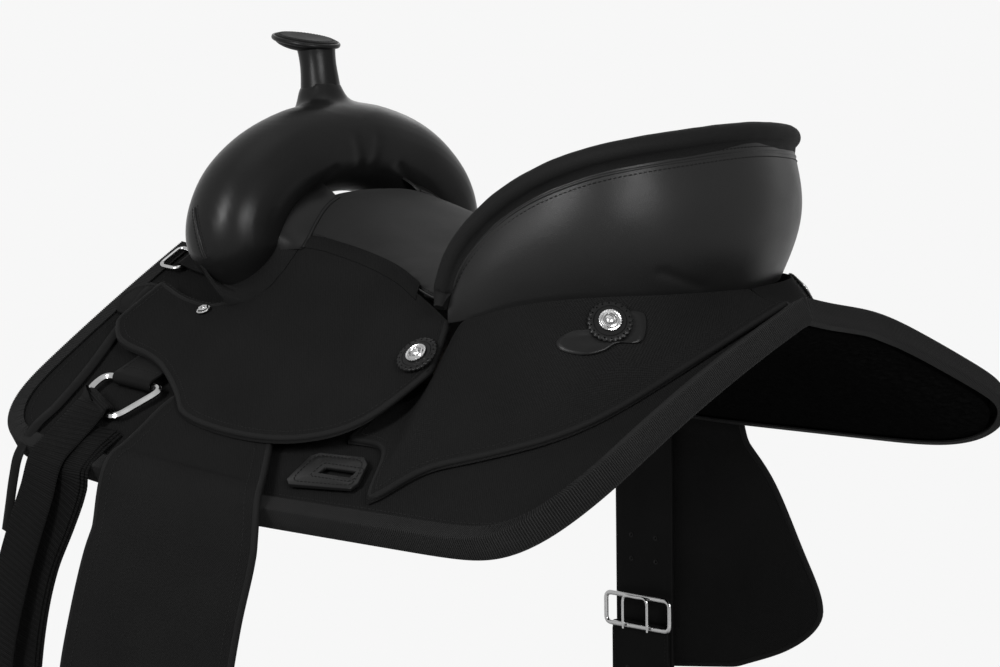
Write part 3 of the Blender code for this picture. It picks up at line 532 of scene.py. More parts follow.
def rims(piece, seed, facing, limit=40):
    # The closed edges of the face that holds a seed, longest first, each with its surface normals.
    builder = bmesh.new()
    builder.from_mesh(piece.data)
    builder.normal_update()
    builder.faces.index_update()
    seed, facing = Vector(seed), Vector(facing)
    start = min((face for face in builder.faces if face.normal.dot(facing) > 0.35),
                key=lambda face: (face.calc_center_median() - seed).length)
    region = {start}
    waiting = [start]
    while waiting:
        face = waiting.pop()
        for edge in face.edges:
            for other in edge.link_faces:
                if other not in region and edge.calc_face_angle(0.0) < math.radians(limit):
                    region.add(other)
                    waiting.append(other)
    links = {}
    # By index, so that each run starts a rim at the same point.
    for face in sorted(region, key=lambda face: face.index):
        for edge in face.edges:
            if sum(other in region for other in edge.link_faces) == 1:
                first, second = edge.verts
                links.setdefault(first, []).append(second)
                links.setdefault(second, []).append(first)
    found = []
    while links:
        first = next(iter(links))
        chain = [first]
        here = first
        while True:
            options = [vert for vert in links.get(here, []) if vert in links and vert not in chain[-2:]]
            links.pop(here, None)
            options = [vert for vert in options if vert in links]
            if not options:
                break
            here = options[0]
            chain.append(here)
        points = [vert.co.copy() for vert in chain]
        normals = []
        for vert in chain:
            total = Vector()
            for face in vert.link_faces:
                if face in region:
                    total += face.normal * face.calc_area()
            normals.append(total.normalized())
        if len(points) > 3:
            found.append((points, normals))
    builder.free()
    made = []
    for points, normals in found:
        middle = sum(points, Vector()) / len(points)
        spin = sum(((a - middle).cross(b - middle).dot(n)
                    for a, b, n in zip(points, points[1:] + points[:1], normals)), 0.0)
        if spin < 0:
            points.reverse()
            normals.reverse()
        length = sum((a - b).length for a, b in zip(points, points[1:]))
        made.append((length, points, normals))
    made.sort(key=lambda item: -item[0])
    return [(points, normals) for _, points, normals in made]


def part(loop, start, end, through):
    # The stretch of a closed loop from one place to another that passes near a third.
    points, normals = loop

    def nearest(place):
        return min(range(len(points)), key=lambda number: (points[number] - Vector(place)).length)

    first, last, middle = nearest(start), nearest(end), nearest(through)
    count = len(points)
    forward = [(first + step) % count for step in range((last - first) % count + 1)]
    if middle not in forward:
        forward = [(last + step) % count for step in range((first - last) % count + 1)]
    return [points[number] for number in forward], [normals[number] for number in forward]


def relaxed(points, rounds, closed):
    for _ in range(rounds):
        count = len(points)
        points = [points[index] if not closed and index in (0, count - 1) else
                  (points[index - 1] + points[index] * 2 + points[(index + 1) % count]) / 4
                  for index in range(count)]
    return points


def insetPath(tree, points, normals, inset, closed, spacing=0.004):
    # A path moved left of a rim and laid back on the surface.
    moved = []
    for index, point in enumerate(points):
        _, left, _ = frameAt(points, normals, index, closed)
        moved.append(point + left * inset)
    moved = relaxed(moved, 6, closed)
    moved, _ = evenly(moved, spacing, closed)
    return laidOn(tree, moved)


def laidOn(tree, points):
    spots = []
    facing = []
    for point in points:
        place, normal, _, _ = tree.find_nearest(point)
        spots.append(place)
        facing.append(normal)
    return spots, facing


def stitchShape():
    # One stitch, a small spindle along x, made once.
    bpy.ops.object.select_all(action="DESELECT")
    bpy.ops.mesh.primitive_uv_sphere_add(segments=6, ring_count=4, radius=0.5, location=(0, 0, 0),
                                         rotation=(0, math.pi / 2, 0))
    bpy.ops.object.transform_apply(location=True, rotation=True, scale=True)
    shape = bpy.context.object
    corners = [vertex.co.copy() for vertex in shape.data.vertices]
    faces = [tuple(face.vertices) for face in shape.data.polygons]
    bpy.data.objects.remove(shape, do_unlink=True)
    return corners, faces


oneStitch = stitchShape()
stitch = {"pitch": 0.0042, "length": 0.0032, "width": 0.0010, "lift": 0.0001}


def stitches(name, points, normals, closed=False, size=1.0):
    # Copies of the stitch in a row along a path.
    points, normals = evenly(points, stitch["pitch"] * size, closed, normals)
    corners, faces = oneStitch
    spots, made = [], []
    for index, point in enumerate(points):
        along, left, up = frameAt(points, normals, index, closed)
        base = len(spots)
        for corner in corners:
            spots.append(point + along * (corner.x * stitch["length"] * size)
                         + left * (corner.y * stitch["width"] * size)
                         + up * (corner.z * stitch["width"] * size + stitch["lift"]))
        made += [tuple(base + number for number in face) for face in faces]
    mesh = bpy.data.meshes.new(name)
    mesh.from_pydata(spots, [], made)
    piece = bpy.data.objects.new(name, mesh)
    scene.collection.objects.link(piece)
    mesh.shade_smooth()
    return dress(piece, "thread")


def mirrored(points, side):
    return [Vector((point.x * side, point.y, point.z)) for point in points]


def ease(value):
    value = min(max(value, 0.0), 1.0)
    return value * value * (3 - 2 * value)


def mixed(low, high, share):
    return low + (high - low) * share


def loftRings(name, rings):
    # A skin through rings of points, closed at both ends.
    builder = bmesh.new()
    rows = [[builder.verts.new(point) for point in ring] for ring in rings]
    size = len(rows[0])
    for first, second in zip(rows, rows[1:]):
        for index in range(size):
            after = (index + 1) % size
            builder.faces.new((first[index], first[after], second[after], second[index]))
    builder.faces.new(rows[0])
    builder.faces.new(rows[-1])
    return fromBuilder(name, builder)


def turnedPiece(name, centre, normal, profile, steps=48, wave=None):
    # A turned shape round a normal; wave(angle, share) scales the radius and may lift it.
    normal = Vector(normal).normalized()
    across = normal.orthogonal().normalized()
    other = normal.cross(across)
    rings = []
    last = len(profile) - 1
    for number, (radius, high) in enumerate(profile):
        ring = []
        for k in range(steps):
            angle = 2 * math.pi * k / steps
            scale, lift = wave(angle, number / last) if wave else (1.0, 0.0)
            out = across * math.cos(angle) + other * math.sin(angle)
            ring.append(Vector(centre) + out * (radius * scale) + normal * (high + lift))
        rings.append(ring)
    return loftRings(name, rings)


def discFrame(node):
    # The middle of a disc's upper face, and the way it faces.
    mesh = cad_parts[node].data
    totals = {}
    for face in mesh.polygons:
        key = tuple(round(value, 1) for value in face.normal)
        area, normal, middle = totals.get(key, (0.0, Vector(), Vector()))
        totals[key] = (area + face.area, normal + face.normal * face.area, middle + face.center * face.area)
    area, normal, middle = max((item for item in totals.values() if item[1].z > 0), key=lambda item: item[0])
    return middle / area, normal.normalized()


def crumple(piece, depth, size, keep=None):
    # Moves points along their normals by smooth noise.
    mesh = piece.data
    moves = [(vertex, vertex.normal.copy(), noise.noise(vertex.co * size)) for vertex in mesh.vertices]
    for vertex, normal, amount in moves:
        share = keep(vertex.co, normal) if keep else 1.0
        vertex.co += normal * (amount * depth * share)
    mesh.update()
    return piece


def pressAlong(piece, lines, depth, width):
    # Presses narrow folds into a surface along short lines.
    paths = [evenly(line, width * 0.5)[0] for line in lines]
    mesh = piece.data
    moves = []
    for vertex in mesh.vertices:
        near = min((vertex.co - point).length for path in paths for point in path)
        if near < width * 2.6:
            moves.append((vertex, vertex.normal * (-depth * math.exp(-(near / width) ** 2))))
    for vertex, move in moves:
        vertex.co += move
    mesh.update()
    return piece


def inflated(piece, voxel, pressure, cap):
    # Remeshed evenly and swollen by a short cloth run; no point moves further than the cap.
    change(piece, "REMESH", mode="VOXEL", voxel_size=voxel)
    activate(piece)
    before = [vertex.co.copy() for vertex in piece.data.vertices]
    cloth = piece.modifiers.new("cloth", "CLOTH")
    cloth.settings.use_pressure = True
    cloth.settings.uniform_pressure_force = pressure
    cloth.settings.effector_weights.gravity = 0
    cloth.settings.tension_stiffness = 30
    cloth.settings.bending_stiffness = 2
    for number in range(1, 21):
        scene.frame_set(number)
    run = piece.evaluated_get(bpy.context.evaluated_depsgraph_get())
    after = [vertex.co.copy() for vertex in run.data.vertices]
    piece.modifiers.remove(cloth)
    scene.frame_set(1)
    for vertex, old, new in zip(piece.data.vertices, before, after):
        move = new - old
        vertex.co = old + (move.normalized() * min(move.length, cap) if move.length else move)
    return subdivided(piece, 1)


# The top of the skirts, as in the part's source, and a frame laid on it.
def skirtTop(x, y):
    off = max(-x, 0.0)
    flatter = 0.016 * ease(off / 0.130) - 0.11 * off * off
    x = abs(x)
    t = max(-y / 0.330, 0.0)
    front = t * t / (t + 0.15) * 1.15
    rise = min(max((y - 0.250) / 0.090, 0.0), 1.3)
    return flatter + 0.077 + 0.092 * front + 0.027 * rise ** 2 - (0.31 + 0.19 * front) * x - 0.28 * x * x


def onSkirt(x, y, side, lift):
    return Vector((side * x, y, skirtTop(side * x, y) + lift))


def skirtFrame(x, y, side, lift):
    step = 0.002
    place = onSkirt(x, y, side, lift)
    across = skirtTop(place.x + step, y) - skirtTop(place.x - step, y)
    lengthwise = skirtTop(place.x, y + step) - skirtTop(place.x, y - step)
    normal = Vector((-across / (2 * step), -lengthwise / (2 * step), 1.0)).normalized()
    along = Vector((0, 1, 0))
    along = (along - normal * along.dot(normal)).normalized()
    return place, along, along.cross(normal).normalized() * side, normal


def roundedLoop(corners, radius, steps):
    made = []
    for index, corner in enumerate(corners):
        before = (corners[index - 1] - corner).normalized() * radius
        after = (corners[(index + 1) % len(corners)] - corner).normalized() * radius
        for step in range(steps + 1):
            t = step / steps
            made.append(corner + before * (1 - t) ** 2 + after * t ** 2)
    return made


def edging(name, piece, loop, closed, profile, inset=None, look="binding", spacing=0.005):
    # A rolled or taped edge along a rim, with a row of stitches beside it.
    points, normals = evenly(relaxed(loop[0], 2, closed), spacing, closed, loop[1])
    roll = dress(sweep(name, points, normals, profile, closed), look)
    if inset is None:
        return [roll]
    row = insetPath(treeOf(piece), points, normals, inset, closed)
    return [roll, stitches(name + "Stitches", *row, closed=closed)]


def boundPanel(label, side, look, seed, profile, spacing=0.005):
    # A cloth panel on the saddle with its row of stitches. Gives back its bound edge, which runs from the
    # first of the look's ends to the second, through the third.
    name, node = label + look["name"], label + look["node"]
    panel = smoothCopy(name, node, look["levels"])
    dress(boxMap(panel), "cordura")
    ends = [(side * x, y, z) for x, y, z in look["ends"]]
    stretch = part(rims(panel, seed, (0, 0, 1))[0], *ends)
    edge, row = edging(label + look["edge"], panel, stretch, False, profile, look["row"], look["finish"],
                       spacing)
    settle(joined(name, panel, row), "saddle", "cordura", node)
    return edge


skirt = {"name": "SkirtPanel", "node": "_skirt", "edge": "SkirtTape", "finish": "grosgrain", "levels": 3,
         "row": 0.0195,
         "ends": ((0.002, 0.334, 0.07), (0.080, -0.328, 0.12), (0.330, 0.0, -0.05))}
wool = {"levels": 4, "tuft": 0.0019, "size": 170.0}
tape = {"pitch": 0.0021, "rib": 0.00040, "width": 0.0130, "thick": 0.0016, "gap": 0.0009, "deep": 0.0172,
        "fold": 0.0060}


def tapeProfile(distance):
    # Ribbed tape folded over a skirt's rim, down its side and under the fleece.
    rib = tape["rib"] * math.sin(2 * math.pi * distance / tape["pitch"])
    gap, wide, deep, fold = tape["gap"], tape["width"], tape["deep"], tape["fold"]
    out = gap + tape["thick"] + rib
    low = -deep - tape["thick"]
    return [(wide, gap + 0.0002), (wide + rib, out), (wide * 0.5, out), (-0.0005, out),
            (-out + 0.0004, out - 0.0006), (-out, 0.0004), (-out, -deep * 0.5), (-out, -deep), (-gap, low),
            (fold, low), (fold, -deep), (-gap, -deep + 0.0004), (-gap, gap - 0.0004),
            (wide * 0.5, gap + 0.0001)]


def woolly(place, normal):
    # The fleece curls on its underside; its rim is trimmed short.
    if normal.z > 0.4:
        return 0.0
    return ease((0.312 - abs(place.x)) / 0.02) if normal.z < -0.5 else 0.0


def makeSkirts():
    for label, side in sides:
        edge = boundPanel(label, side, skirt, onSkirt(0.2, 0.1, side, 0.0), tapeProfile, tape["pitch"] / 5)
        settle(edge, "saddle", "grosgrain", label + "_rear_binding")

        fleece = smoothCopy(label + "Fleece", label + "_fleece", wool["levels"])
        crumple(fleece, wool["tuft"], wool["size"], woolly)
        crumple(fleece, wool["tuft"] * 0.5, wool["size"] * 2.5, woolly)
        fleece.data.shade_smooth()
        settle(dress(fleece, "fleece"), "saddle", "fleece", label + "_fleece")
    print("skirts done")


swell = {"centre": Vector((0.0, -0.2025, 0.141)), "span": 0.1285, "rise": 0.0765, "top": 0.0435,
         "lobe": 0.0475, "from": -25, "to": 205, "voxel": 0.004, "pressure": 2.5, "cap": 0.0012,
         "seam": ((208, 146), (200, 164), (196, 186), (195, 208), (198, 232), (206, 258)),
         "pleats": (((357, 140), (359, 168)), ((399, 166), (414, 192))), "pleat": (0.0010, 0.0060),
         "collarReach": 0.052, "collarHigh": 0.0150, "crumple": (0.0008, 22.0), "row": 0.0042}
horn = {"base": Vector((0.0, -0.220, 0.259)), "top": Vector((0.0, -0.227, 0.315)),
        "collar": ((0.032, -0.030), (0.0310, -0.012), (0.0262, -0.003), (0.0228, 0.007), (0.0210, 0.016)),
        "neck": ((0.0232, -0.014), (0.0214, -0.004), (0.0203, 0.004), (0.0190, 0.012), (0.0180, 0.022),
                 (0.0174, 0.034), (0.0174, 0.044), (0.0182, 0.050), (0.0196, 0.0545)),
        "cap": Vector((0.0, -0.240, 0.3175)), "capLong": 0.034, "capWide": 0.031, "capTilt": 11,
        "capShape": ((-0.0100, 0.30), (-0.0090, 0.60), (-0.0066, 0.80), (-0.0036, 0.93), (-0.0008, 0.975),
                     (0.0012, 0.960), (0.0028, 0.91), (0.0036, 0.80), (0.0034, 0.60), (0.0030, 0.30)),
        "capRim": (0.965, -0.0006), "capRoll": 0.0019, "capRow": 0.0052, "overlap": 0.055,
        "crumple": (0.0005, 60.0)}


def archRing(angle, sideCount, grow=0.0):
    high = math.sin(angle)
    centre = swell["centre"] + Vector((math.cos(angle) * swell["span"], 0, high * swell["rise"]))
    radius = mixed(swell["lobe"], swell["top"], ease(high)) + grow
    ends = min(angle - math.radians(swell["from"]), math.radians(swell["to"]) - angle)
    radius *= mixed(0.72, 1.0, ease(ends / math.radians(22)))
    along = Vector((-high * swell["span"], 0, math.cos(angle) * swell["rise"])).normalized()
    out = Vector((0, 1, 0)).cross(along).normalized()
    return [centre + out * (math.cos(2 * math.pi * k / sideCount) * radius)
            + Vector((0, math.sin(2 * math.pi * k / sideCount) * radius * 1.02, 0)) for k in range(sideCount)]


def makeSwell():
    count = 72
    angles = [math.radians(mixed(swell["from"], swell["to"], step / (count - 1))) for step in range(count)]
    arch = loftRings("swellLeather", [archRing(angle, 40, -0.0006) for angle in angles])
    axis = (horn["top"] - horn["base"]).normalized()
    collar = turnedPiece("collar", horn["base"], axis, horn["collar"], 40)
    cover = joined("swellLeather", arch, collar)
    inflated(cover, swell["voxel"], swell["pressure"], swell["cap"])
    builder = bmesh.new()
    builder.from_mesh(cover.data)
    nearHorn = [vert for vert in builder.verts if (vert.co - horn["base"]).length < swell["collarReach"]
                and (vert.co - horn["base"]).dot(axis) < swell["collarHigh"]]
    for verts, rounds in ((nearHorn, 40), (builder.verts, 3)):
        for _ in range(rounds):
            bmesh.ops.smooth_vert(builder, verts=verts, factor=0.5, use_axis_x=True, use_axis_y=True,
                                  use_axis_z=True)
    builder.to_mesh(cover.data)
    builder.free()
    tree = treeOf(cover)
    lines = []
    for line in swell["pleats"]:
        spots = [atPixel(tree, *pixel)[0] for pixel in line]
        if None not in spots:
            lines.append(spots)
            lines.append(mirrored(spots, -1))
    pressAlong(cover, lines, *swell["pleat"])
    crumple(cover, *swell["crumple"])
    cover.data.shade_smooth()
    tree = treeOf(cover)
    seam = [spot for spot in (atPixel(tree, *pixel)[0] for pixel in swell["seam"]) if spot]
    extras = []
    for label, side in sides:
        path = laidOn(tree, evenly(spline(mirrored(seam, side), 60), 0.003)[0])
        welt = sweep(label + "SwellWelt", *path, roundProfile(0.0014, 8, 0.0, 0.0003, 0.8))
        extras.append(dress(welt, "smooth"))
        for shift in (-swell["row"], swell["row"]):
            row = insetPath(tree, *path, shift, False)
            extras.append(stitches(label + "SwellRow", *row, size=0.8))
    cover = joined("swellLeather", dress(cover, "smooth"), *extras)
    settle(cover, "saddle", "leather", "swell_cover")
    print("swell done")


def makeHorn():
    axis = (horn["top"] - horn["base"]).normalized()

    def wrap(angle, share):
        # The wrap's free edge stands a little proud where it overlaps.
        turn = (angle / (2 * math.pi) - 0.12) % 1.0
        proud = horn["overlap"] * max(1 - turn * 9, 0.0) * ease(turn * 60)
        return 1.0 + proud + 0.006 * math.sin(angle * 3 + share * 5), 0.0

    neck = turnedPiece("hornWrap", horn["base"], axis, horn["neck"], 72, wrap)
    subdivided(neck, 1)
    crumple(neck, *horn["crumple"])
    smoothShade(neck, 60)
    settle(dress(neck, "smooth"), "saddle", "leather", "horn_neck")

    tilt = math.radians(horn["capTilt"])
    longWay = Vector((0, -math.cos(tilt), math.sin(tilt)))
    up = Vector((0, math.sin(tilt), math.cos(tilt)))

    def oval(share, high, count):
        return [horn["cap"] + up * high + Vector((math.cos(a) * horn["capWide"] * share, 0, 0))
                + longWay * (math.sin(a) * horn["capLong"] * share)
                for a in (2 * math.pi * k / count for k in range(count))]

    cap = loftRings("hornCap", [oval(share, high, 56) for high, share in horn["capShape"]])
    dress(smoothShade(subdivided(cap, 1), 60), "worn")
    rim = oval(*horn["capRim"], 80)
    ups = [up] * len(rim)
    edge = roundProfile(horn["capRoll"], 10, flat=1.25)
    roll = dress(sweep("capRoll", rim, ups, edge, True), "smooth")
    inset = horn["capRow"] if spinOf(rim, up) > 0 else -horn["capRow"]
    row = insetPath(treeOf(cap), [point + up * 0.004 for point in rim], ups, inset, True)
    cap = joined("hornCap", cap, roll, stitches("capRow", *row, closed=True, size=0.75))
    settle(cap, "saddle", "leather", "horn_cap")
    print("horn done")


def spinOf(points, up):
    middle = sum(points, Vector()) / len(points)
    return sum((a - middle).cross(b - middle).dot(up) for a, b in zip(points, points[1:] + points[:1]))


cantle = {"rim": ((0.167, 0.098, 0.104), (0.167, 0.114, 0.141), (0.156, 0.160, 0.183), (0.138, 0.216, 0.209),
                  (0.094, 0.260, 0.221), (0.0, 0.286, 0.229)),
          "foot": (0.174, 0.091, 0.095), "roll": 0.0085, "grip": 0.0050, "weltDrop": 0.0080,
          "weltRadius": 0.0014,
          "folds": (((662, 272), (702, 287)), ((455, 300), (470, 330)), ((780, 268), (795, 250))),
          "fold": (0.0012, 0.0040), "crumple": (0.0009, 16.0), "rollCrumple": (0.0004, 60.0),
          "plainAbove": 0.222, "row": 0.0042, "step": 0.003}


def cantleRim():
    half = spline([Vector(point) for point in cantle["rim"]], 41)
    return half + mirrored(reversed(half[:-1]), -1)


def makeCantle():
    panel = copyNode("cantleLeather", "cantle_back")
    subdivided(creased(panel), 3)
    tree = treeOf(panel)
    folds = []
    for line in cantle["folds"]:
        spots = [atPixel(tree, *pixel)[0] for pixel in line]
        if None not in spots:
            folds.append(spots)
    pressAlong(panel, folds, *cantle["fold"])
    crumple(panel, *cantle["crumple"], lambda place, normal: ease((cantle["plainAbove"] - place.z) / 0.03))
    smoothShade(panel)
    dress(panel, "grained")

    rim = cantleRim()
    foot = Vector(cantle["foot"])
    centres, outs = [], []
    for index, point in enumerate(rim):
        out = Vector((point.x, point.y - 0.060, 0.0)).normalized()
        along = (rim[min(index + 1, len(rim) - 1)] - rim[max(index - 1, 0)]).normalized()
        away = out.cross(along).normalized()
        centres.append(point + away * (cantle["roll"] + 0.0004) - out * 0.002)
        outs.append(out)
    centres = [foot] + relaxed(centres, 12, False) + mirrored([foot], -1)
    outs = [outs[0]] + [out.normalized() for out in relaxed(outs, 12, False)] + [outs[-1]]
    centres, outs = evenly(spline(centres, 200), cantle["step"], False, spline(outs, 200))
    total = (len(centres) - 1) * cantle["step"]

    def rolled(distance):
        ends = min(distance, total - distance)
        size = cantle["roll"] * mixed(0.55, 1.0, ease(ends / 0.018))
        angles = [math.radians(mixed(-150, 150, k / 19)) for k in range(20)]
        grip = mixed(0.2, 1.0, ease(ends / 0.03))
        ring = [(size * math.cos(angle), size * math.sin(angle)) for angle in angles]
        low = -size - cantle["grip"] * grip
        return ring + [(low, 0.0036), (low, -0.0036)]

    roll = sweep("cantleRoll", centres, outs, rolled)
    crumple(roll, *cantle["rollCrumple"])
    dress(roll, "binding")
    welt, facing = [], []
    for point in rim[2:-2]:
        place, normal, _, _ = tree.find_nearest(point - Vector((0, 0, cantle["weltDrop"])))
        welt.append(place)
        facing.append(normal)
    line = sweep("cantleWelt", *evenly(relaxed(welt, 3, False), cantle["step"], False, facing),
                 roundProfile(cantle["weltRadius"], 8, 0.0, 0.0002, 0.7))
    dress(line, "grained")
    rows = [stitches("cantleRow", *insetPath(tree, welt, facing, shift, False))
            for shift in (cantle["row"], -cantle["row"])]
    panel = joined("cantleLeather", panel, line, *rows)
    settle(panel, "saddle", "leather", "cantle_back")
    settle(roll, "saddle", "cordura", "cantle_roll")
    print("cantle done")


seat = {"voxel": 0.005, "pressure": 3.0, "cap": 0.0026, "shrink": -0.0012, "welt": 0.0009, "row": 0.0065,
        "crumple": (0.0013, 15.0)}


def makeSeat():
    rim = rims(copyTemp("seat_pad"), (0, 0, 0.125), (0, 0, 1), 50)[0]
    pad = copyNode("seatLeather", "seat_pad")
    subdivided(creased(pad, 50, 0.6), 1)
    change(pad, "DISPLACE", strength=seat["shrink"], mid_level=0.0)
    inflated(pad, seat["voxel"], seat["pressure"], seat["cap"])
    change(pad, "SMOOTH", factor=0.5, iterations=6)
    crumple(pad, *seat["crumple"])
    pad.data.shade_smooth()
    dress(pad, "soft")
    points, normals = evenly(relaxed(spline(rim[0], len(rim[0]) * 3, True), 3, True), 0.004, True,
                             spline(rim[1], len(rim[1]) * 3, True))
    welt = sweep("seatWelt", points, normals, roundProfile(seat["welt"], 8, 0.0016, -0.0012), True)
    dress(welt, "smooth")
    row = insetPath(treeOf(pad), points, normals, seat["row"], True)
    pad = joined("seatLeather", pad, welt, stitches("seatRow", *row, closed=True, size=0.9))
    settle(pad, "saddle", "suede", "seat_pad")
    print("seat done")


def copyTemp(node, levels=1):
    # A working copy that is removed again at the end of the script.
    piece = copyNode("working_" + node, node)
    if levels:
        subdivided(creased(piece, 50), levels)
    working.append(piece)
    return piece


working = []


jockeys = (
    {"name": "SeatJockey", "node": "_seat_jockey", "edge": "SeatJockeyRoll", "finish": "binding", "levels": 2,
     "row": 0.0072, "roll": 0.0030, "seed": (-0.03, 0.06),
     "ends": ((0.130, -0.151, 0.110), (0.161, 0.088, 0.083), (0.276, -0.1, 0.0))},
    {"name": "RearJockey", "node": "_rear_jockey", "edge": "RearJockeyRoll", "finish": "binding", "levels": 2,
     "row": 0.0072, "roll": 0.0030, "seed": (0.17, 0.05),
     "ends": ((0.200, 0.052, 0.05), (0.002, 0.316, 0.11), (0.311, 0.139, 0.0))})


def makeJockeys():
    for label, side in sides:
        for jockey in jockeys:
            roll = roundProfile(jockey["roll"], left=0.0012, up=-0.0024)
            settle(boundPanel(label, side, jockey, (side * 0.2, *jockey["seed"]), roll), "saddle", "cordura")
    print("jockeys done")


# Strips that close the saddle's seams, each from a line on one piece to a line on the pieces beside it.
bands = (
    ("SeatLip", "smooth",
     ((275, 250), (279, 238), (283, 227), (289, 214), (296, 204), (305, 195), (314, 189), (322, 183)),
     ((303, 249), (309, 238), (317, 222), (327, 207), (338, 198)), 0.0020),
    ("ForkLip", "cordura",
     ((277, 246), (270, 258), (258, 272), (243, 282), (226, 286), (211, 278), (200, 264)),
     ((300, 247), (289, 264), (269, 288), (250, 299), (228, 306), (206, 302), (190, 292)), 0.0),
    ("SeatSeam", "cordura", ((309, 235), (331, 240), (365, 251), (398, 266), (421, 284)),
     ((303, 248), (325, 252), (364, 266), (396, 283), (416, 301)), 0.0))
band = {"thick": 0.0024, "steps": 40, "columns": 6, "bulge": 0.0013}


def seamLine(trees, pixels):
    # Where the pixels first meet any of the pieces, as one smooth line.
    eye = Vector(camera["place"])
    spots = []
    for pixel in pixels:
        hits = [spot for spot in (atPixel(tree, *pixel)[0] for tree in trees) if spot]
        if hits:
            spots.append(min(hits, key=lambda spot: (spot - eye).length))
    return relaxed(spline(spots, band["steps"]), 4, False)


def makeBands():
    eye = Vector(camera["place"])
    swellTree = treeOf(bpy.data.objects["swellLeather"])
    seatTree = treeOf(bpy.data.objects["seatLeather"])
    jockeyTree = treeOf(bpy.data.objects["nearSeatJockey"])
    meets = {"SeatLip": ((swellTree,), (seatTree, jockeyTree)), "ForkLip": ((swellTree,), (jockeyTree,)),
             "SeatSeam": ((seatTree,), (jockeyTree,))}
    for name, look, upper, lower, piping in bands:
        highLine = seamLine(meets[name][0], upper)
        lowLine = seamLine(meets[name][1], lower)
        rings = []
        outs = []
        for index, (high, low) in enumerate(zip(highLine, lowLine)):
            ahead = highLine[min(index + 1, len(highLine) - 1)] - highLine[max(index - 1, 0)]
            out = ahead.cross(low - high).normalized()
            if out.dot(eye - high) < 0:
                out = -out
            outs.append(out)
            row = []
            for column in range(band["columns"] + 1):
                share = column / band["columns"]
                row.append((high.lerp(low, share), math.sin(math.pi * share) * band["bulge"]))
            half = band["thick"] / 2
            rings.append([place + out * (lift + half) for place, lift in row]
                         + [place + out * (lift - half) for place, lift in reversed(row)])
        for label, side in sides:
            strip = loftRings(label + name, [mirrored(ring, side) for ring in rings])
            dress(boxMap(smoothShade(subdivided(creased(strip, 50, 0.5), 1), 60)), look)
            if piping:
                cord = sweep(label + name + "Piping", mirrored(lowLine, side), mirrored(outs, side),
                             roundProfile(piping, 10, 0.0, 0.0006))
                strip = joined(label + name, strip, dress(cord, look))
            settle(strip, "saddle", "leather" if look == "smooth" else "cordura")
    print("lips done")


rosette = {"radius": 0.0186, "teeth": 26, "thick": 0.0026, "holes": 18, "hole": 0.0008, "holeRing": 0.84}
tongue = {"outline": ((644, 314), (622, 312), (604, 322), (588, 330), (572, 332), (557, 341), (561, 351),
                      (584, 356), (604, 352), (618, 344), (642, 342)),
          "rings": ((0.0002, 0.97), (0.0012, 1.0), (0.0022, 0.97), (0.0026, 0.86), (0.0022, 0.5),
                    (0.0020, 0.2))}
# Profiles run from the rim to the middle; the concho's are shares of its radius with their heights.
concho = {"radius": 0.0094, "teeth": 26, "lift": 0.0004,
          "profile": ((0.90, 0.0), (0.99, 0.0004), (1.0, 0.0010), (0.97, 0.0015), (0.90, 0.0017),
                      (0.82, 0.0013), (0.77, 0.0014), (0.70, 0.0022), (0.62, 0.0024), (0.55, 0.0018),
                      (0.50, 0.0009), (0.44, 0.0010), (0.38, 0.0024), (0.26, 0.0032), (0.04, 0.0035))}
screw = {"high": 0.0026,
         "profile": ((0.0058, 0.0), (0.0066, 0.0004), (0.0067, 0.0012), (0.0060, 0.0017), (0.0052, 0.0016),
                     (0.0049, 0.0030), (0.0043, 0.0034), (0.0022, 0.0034), (0.0020, 0.0024),
                     (0.0004, 0.0022))}


def conchoPiece(name, centre, normal):
    # Domed button with a roped rim, a groove and a raised boss.
    def roped(angle, share):
        return (1.0 + 0.020 * math.sin(angle * concho["teeth"]) if 0.12 < share < 0.42 else 1.0), 0.0

    profile = [(concho["radius"] * share, high) for share, high in concho["profile"]]
    return dress(smoothShade(turnedPiece(name, centre, normal, profile, 104, roped), 35), "chrome")


def rosettePiece(name, centre, normal):
    radius, thick = rosette["radius"], rosette["thick"]

    def scallop(angle, share):
        tooth = abs(math.cos(angle * rosette["teeth"] / 2))
        return (1 - 0.055 * (1 - tooth) if 0.1 < share < 0.6 else 1.0), 0.0

    profile = ((radius * 0.80, 0.0), (radius * 0.97, 0.0002), (radius, 0.0009),
               (radius * 0.985, thick * 0.75), (radius * 0.93, thick), (radius * 0.74, thick * 1.02),
               (radius * 0.71, thick * 0.82), (radius * 0.68, thick * 1.02), (radius * 0.3, thick * 1.05))
    piece = dress(smoothShade(turnedPiece(name, centre, normal, profile, 156, scallop), 40), "smooth")
    across = normal.orthogonal().normalized()
    other = normal.cross(across)
    # The punched holes are small raised discs in the darkest finish: the skirt's colour seen through them,
    # with painted shade in them.
    size = rosette["hole"]
    dot = ((size, 0.0), (size * 0.8, 0.00015), (size * 0.3, 0.0001))
    holes = []
    for number in range(rosette["holes"]):
        angle = 2 * math.pi * number / rosette["holes"]
        outward = across * math.cos(angle) + other * math.sin(angle)
        spot = centre + outward * (radius * rosette["holeRing"]) + normal * thick
        holes.append(dress(turnedPiece("hole", spot, normal, dot, 10), "fleece"))
    return joined(name, piece, *holes)


def makeTongue():
    # The soft leather flap that lies under each string's rosette.
    tree = treeOf(bpy.data.objects["nearRearJockey"])
    hits = [atPixel(tree, *pixel) for pixel in tongue["outline"]]
    spots = spline([spot for spot, _ in hits if spot], 60, True)
    up = sum((normal for spot, normal in hits if spot), Vector()).normalized()
    centre = sum(spots, Vector()) / len(spots)
    rings = [[centre + (spot - centre) * share + up * high for spot in spots]
             for high, share in tongue["rings"]]
    for label, side in sides:
        flap = smoothShade(loftRings(label + "StringTongue", [mirrored(ring, side) for ring in rings]), 60)
        settle(dress(flap, "smooth"), "saddle", "leather")


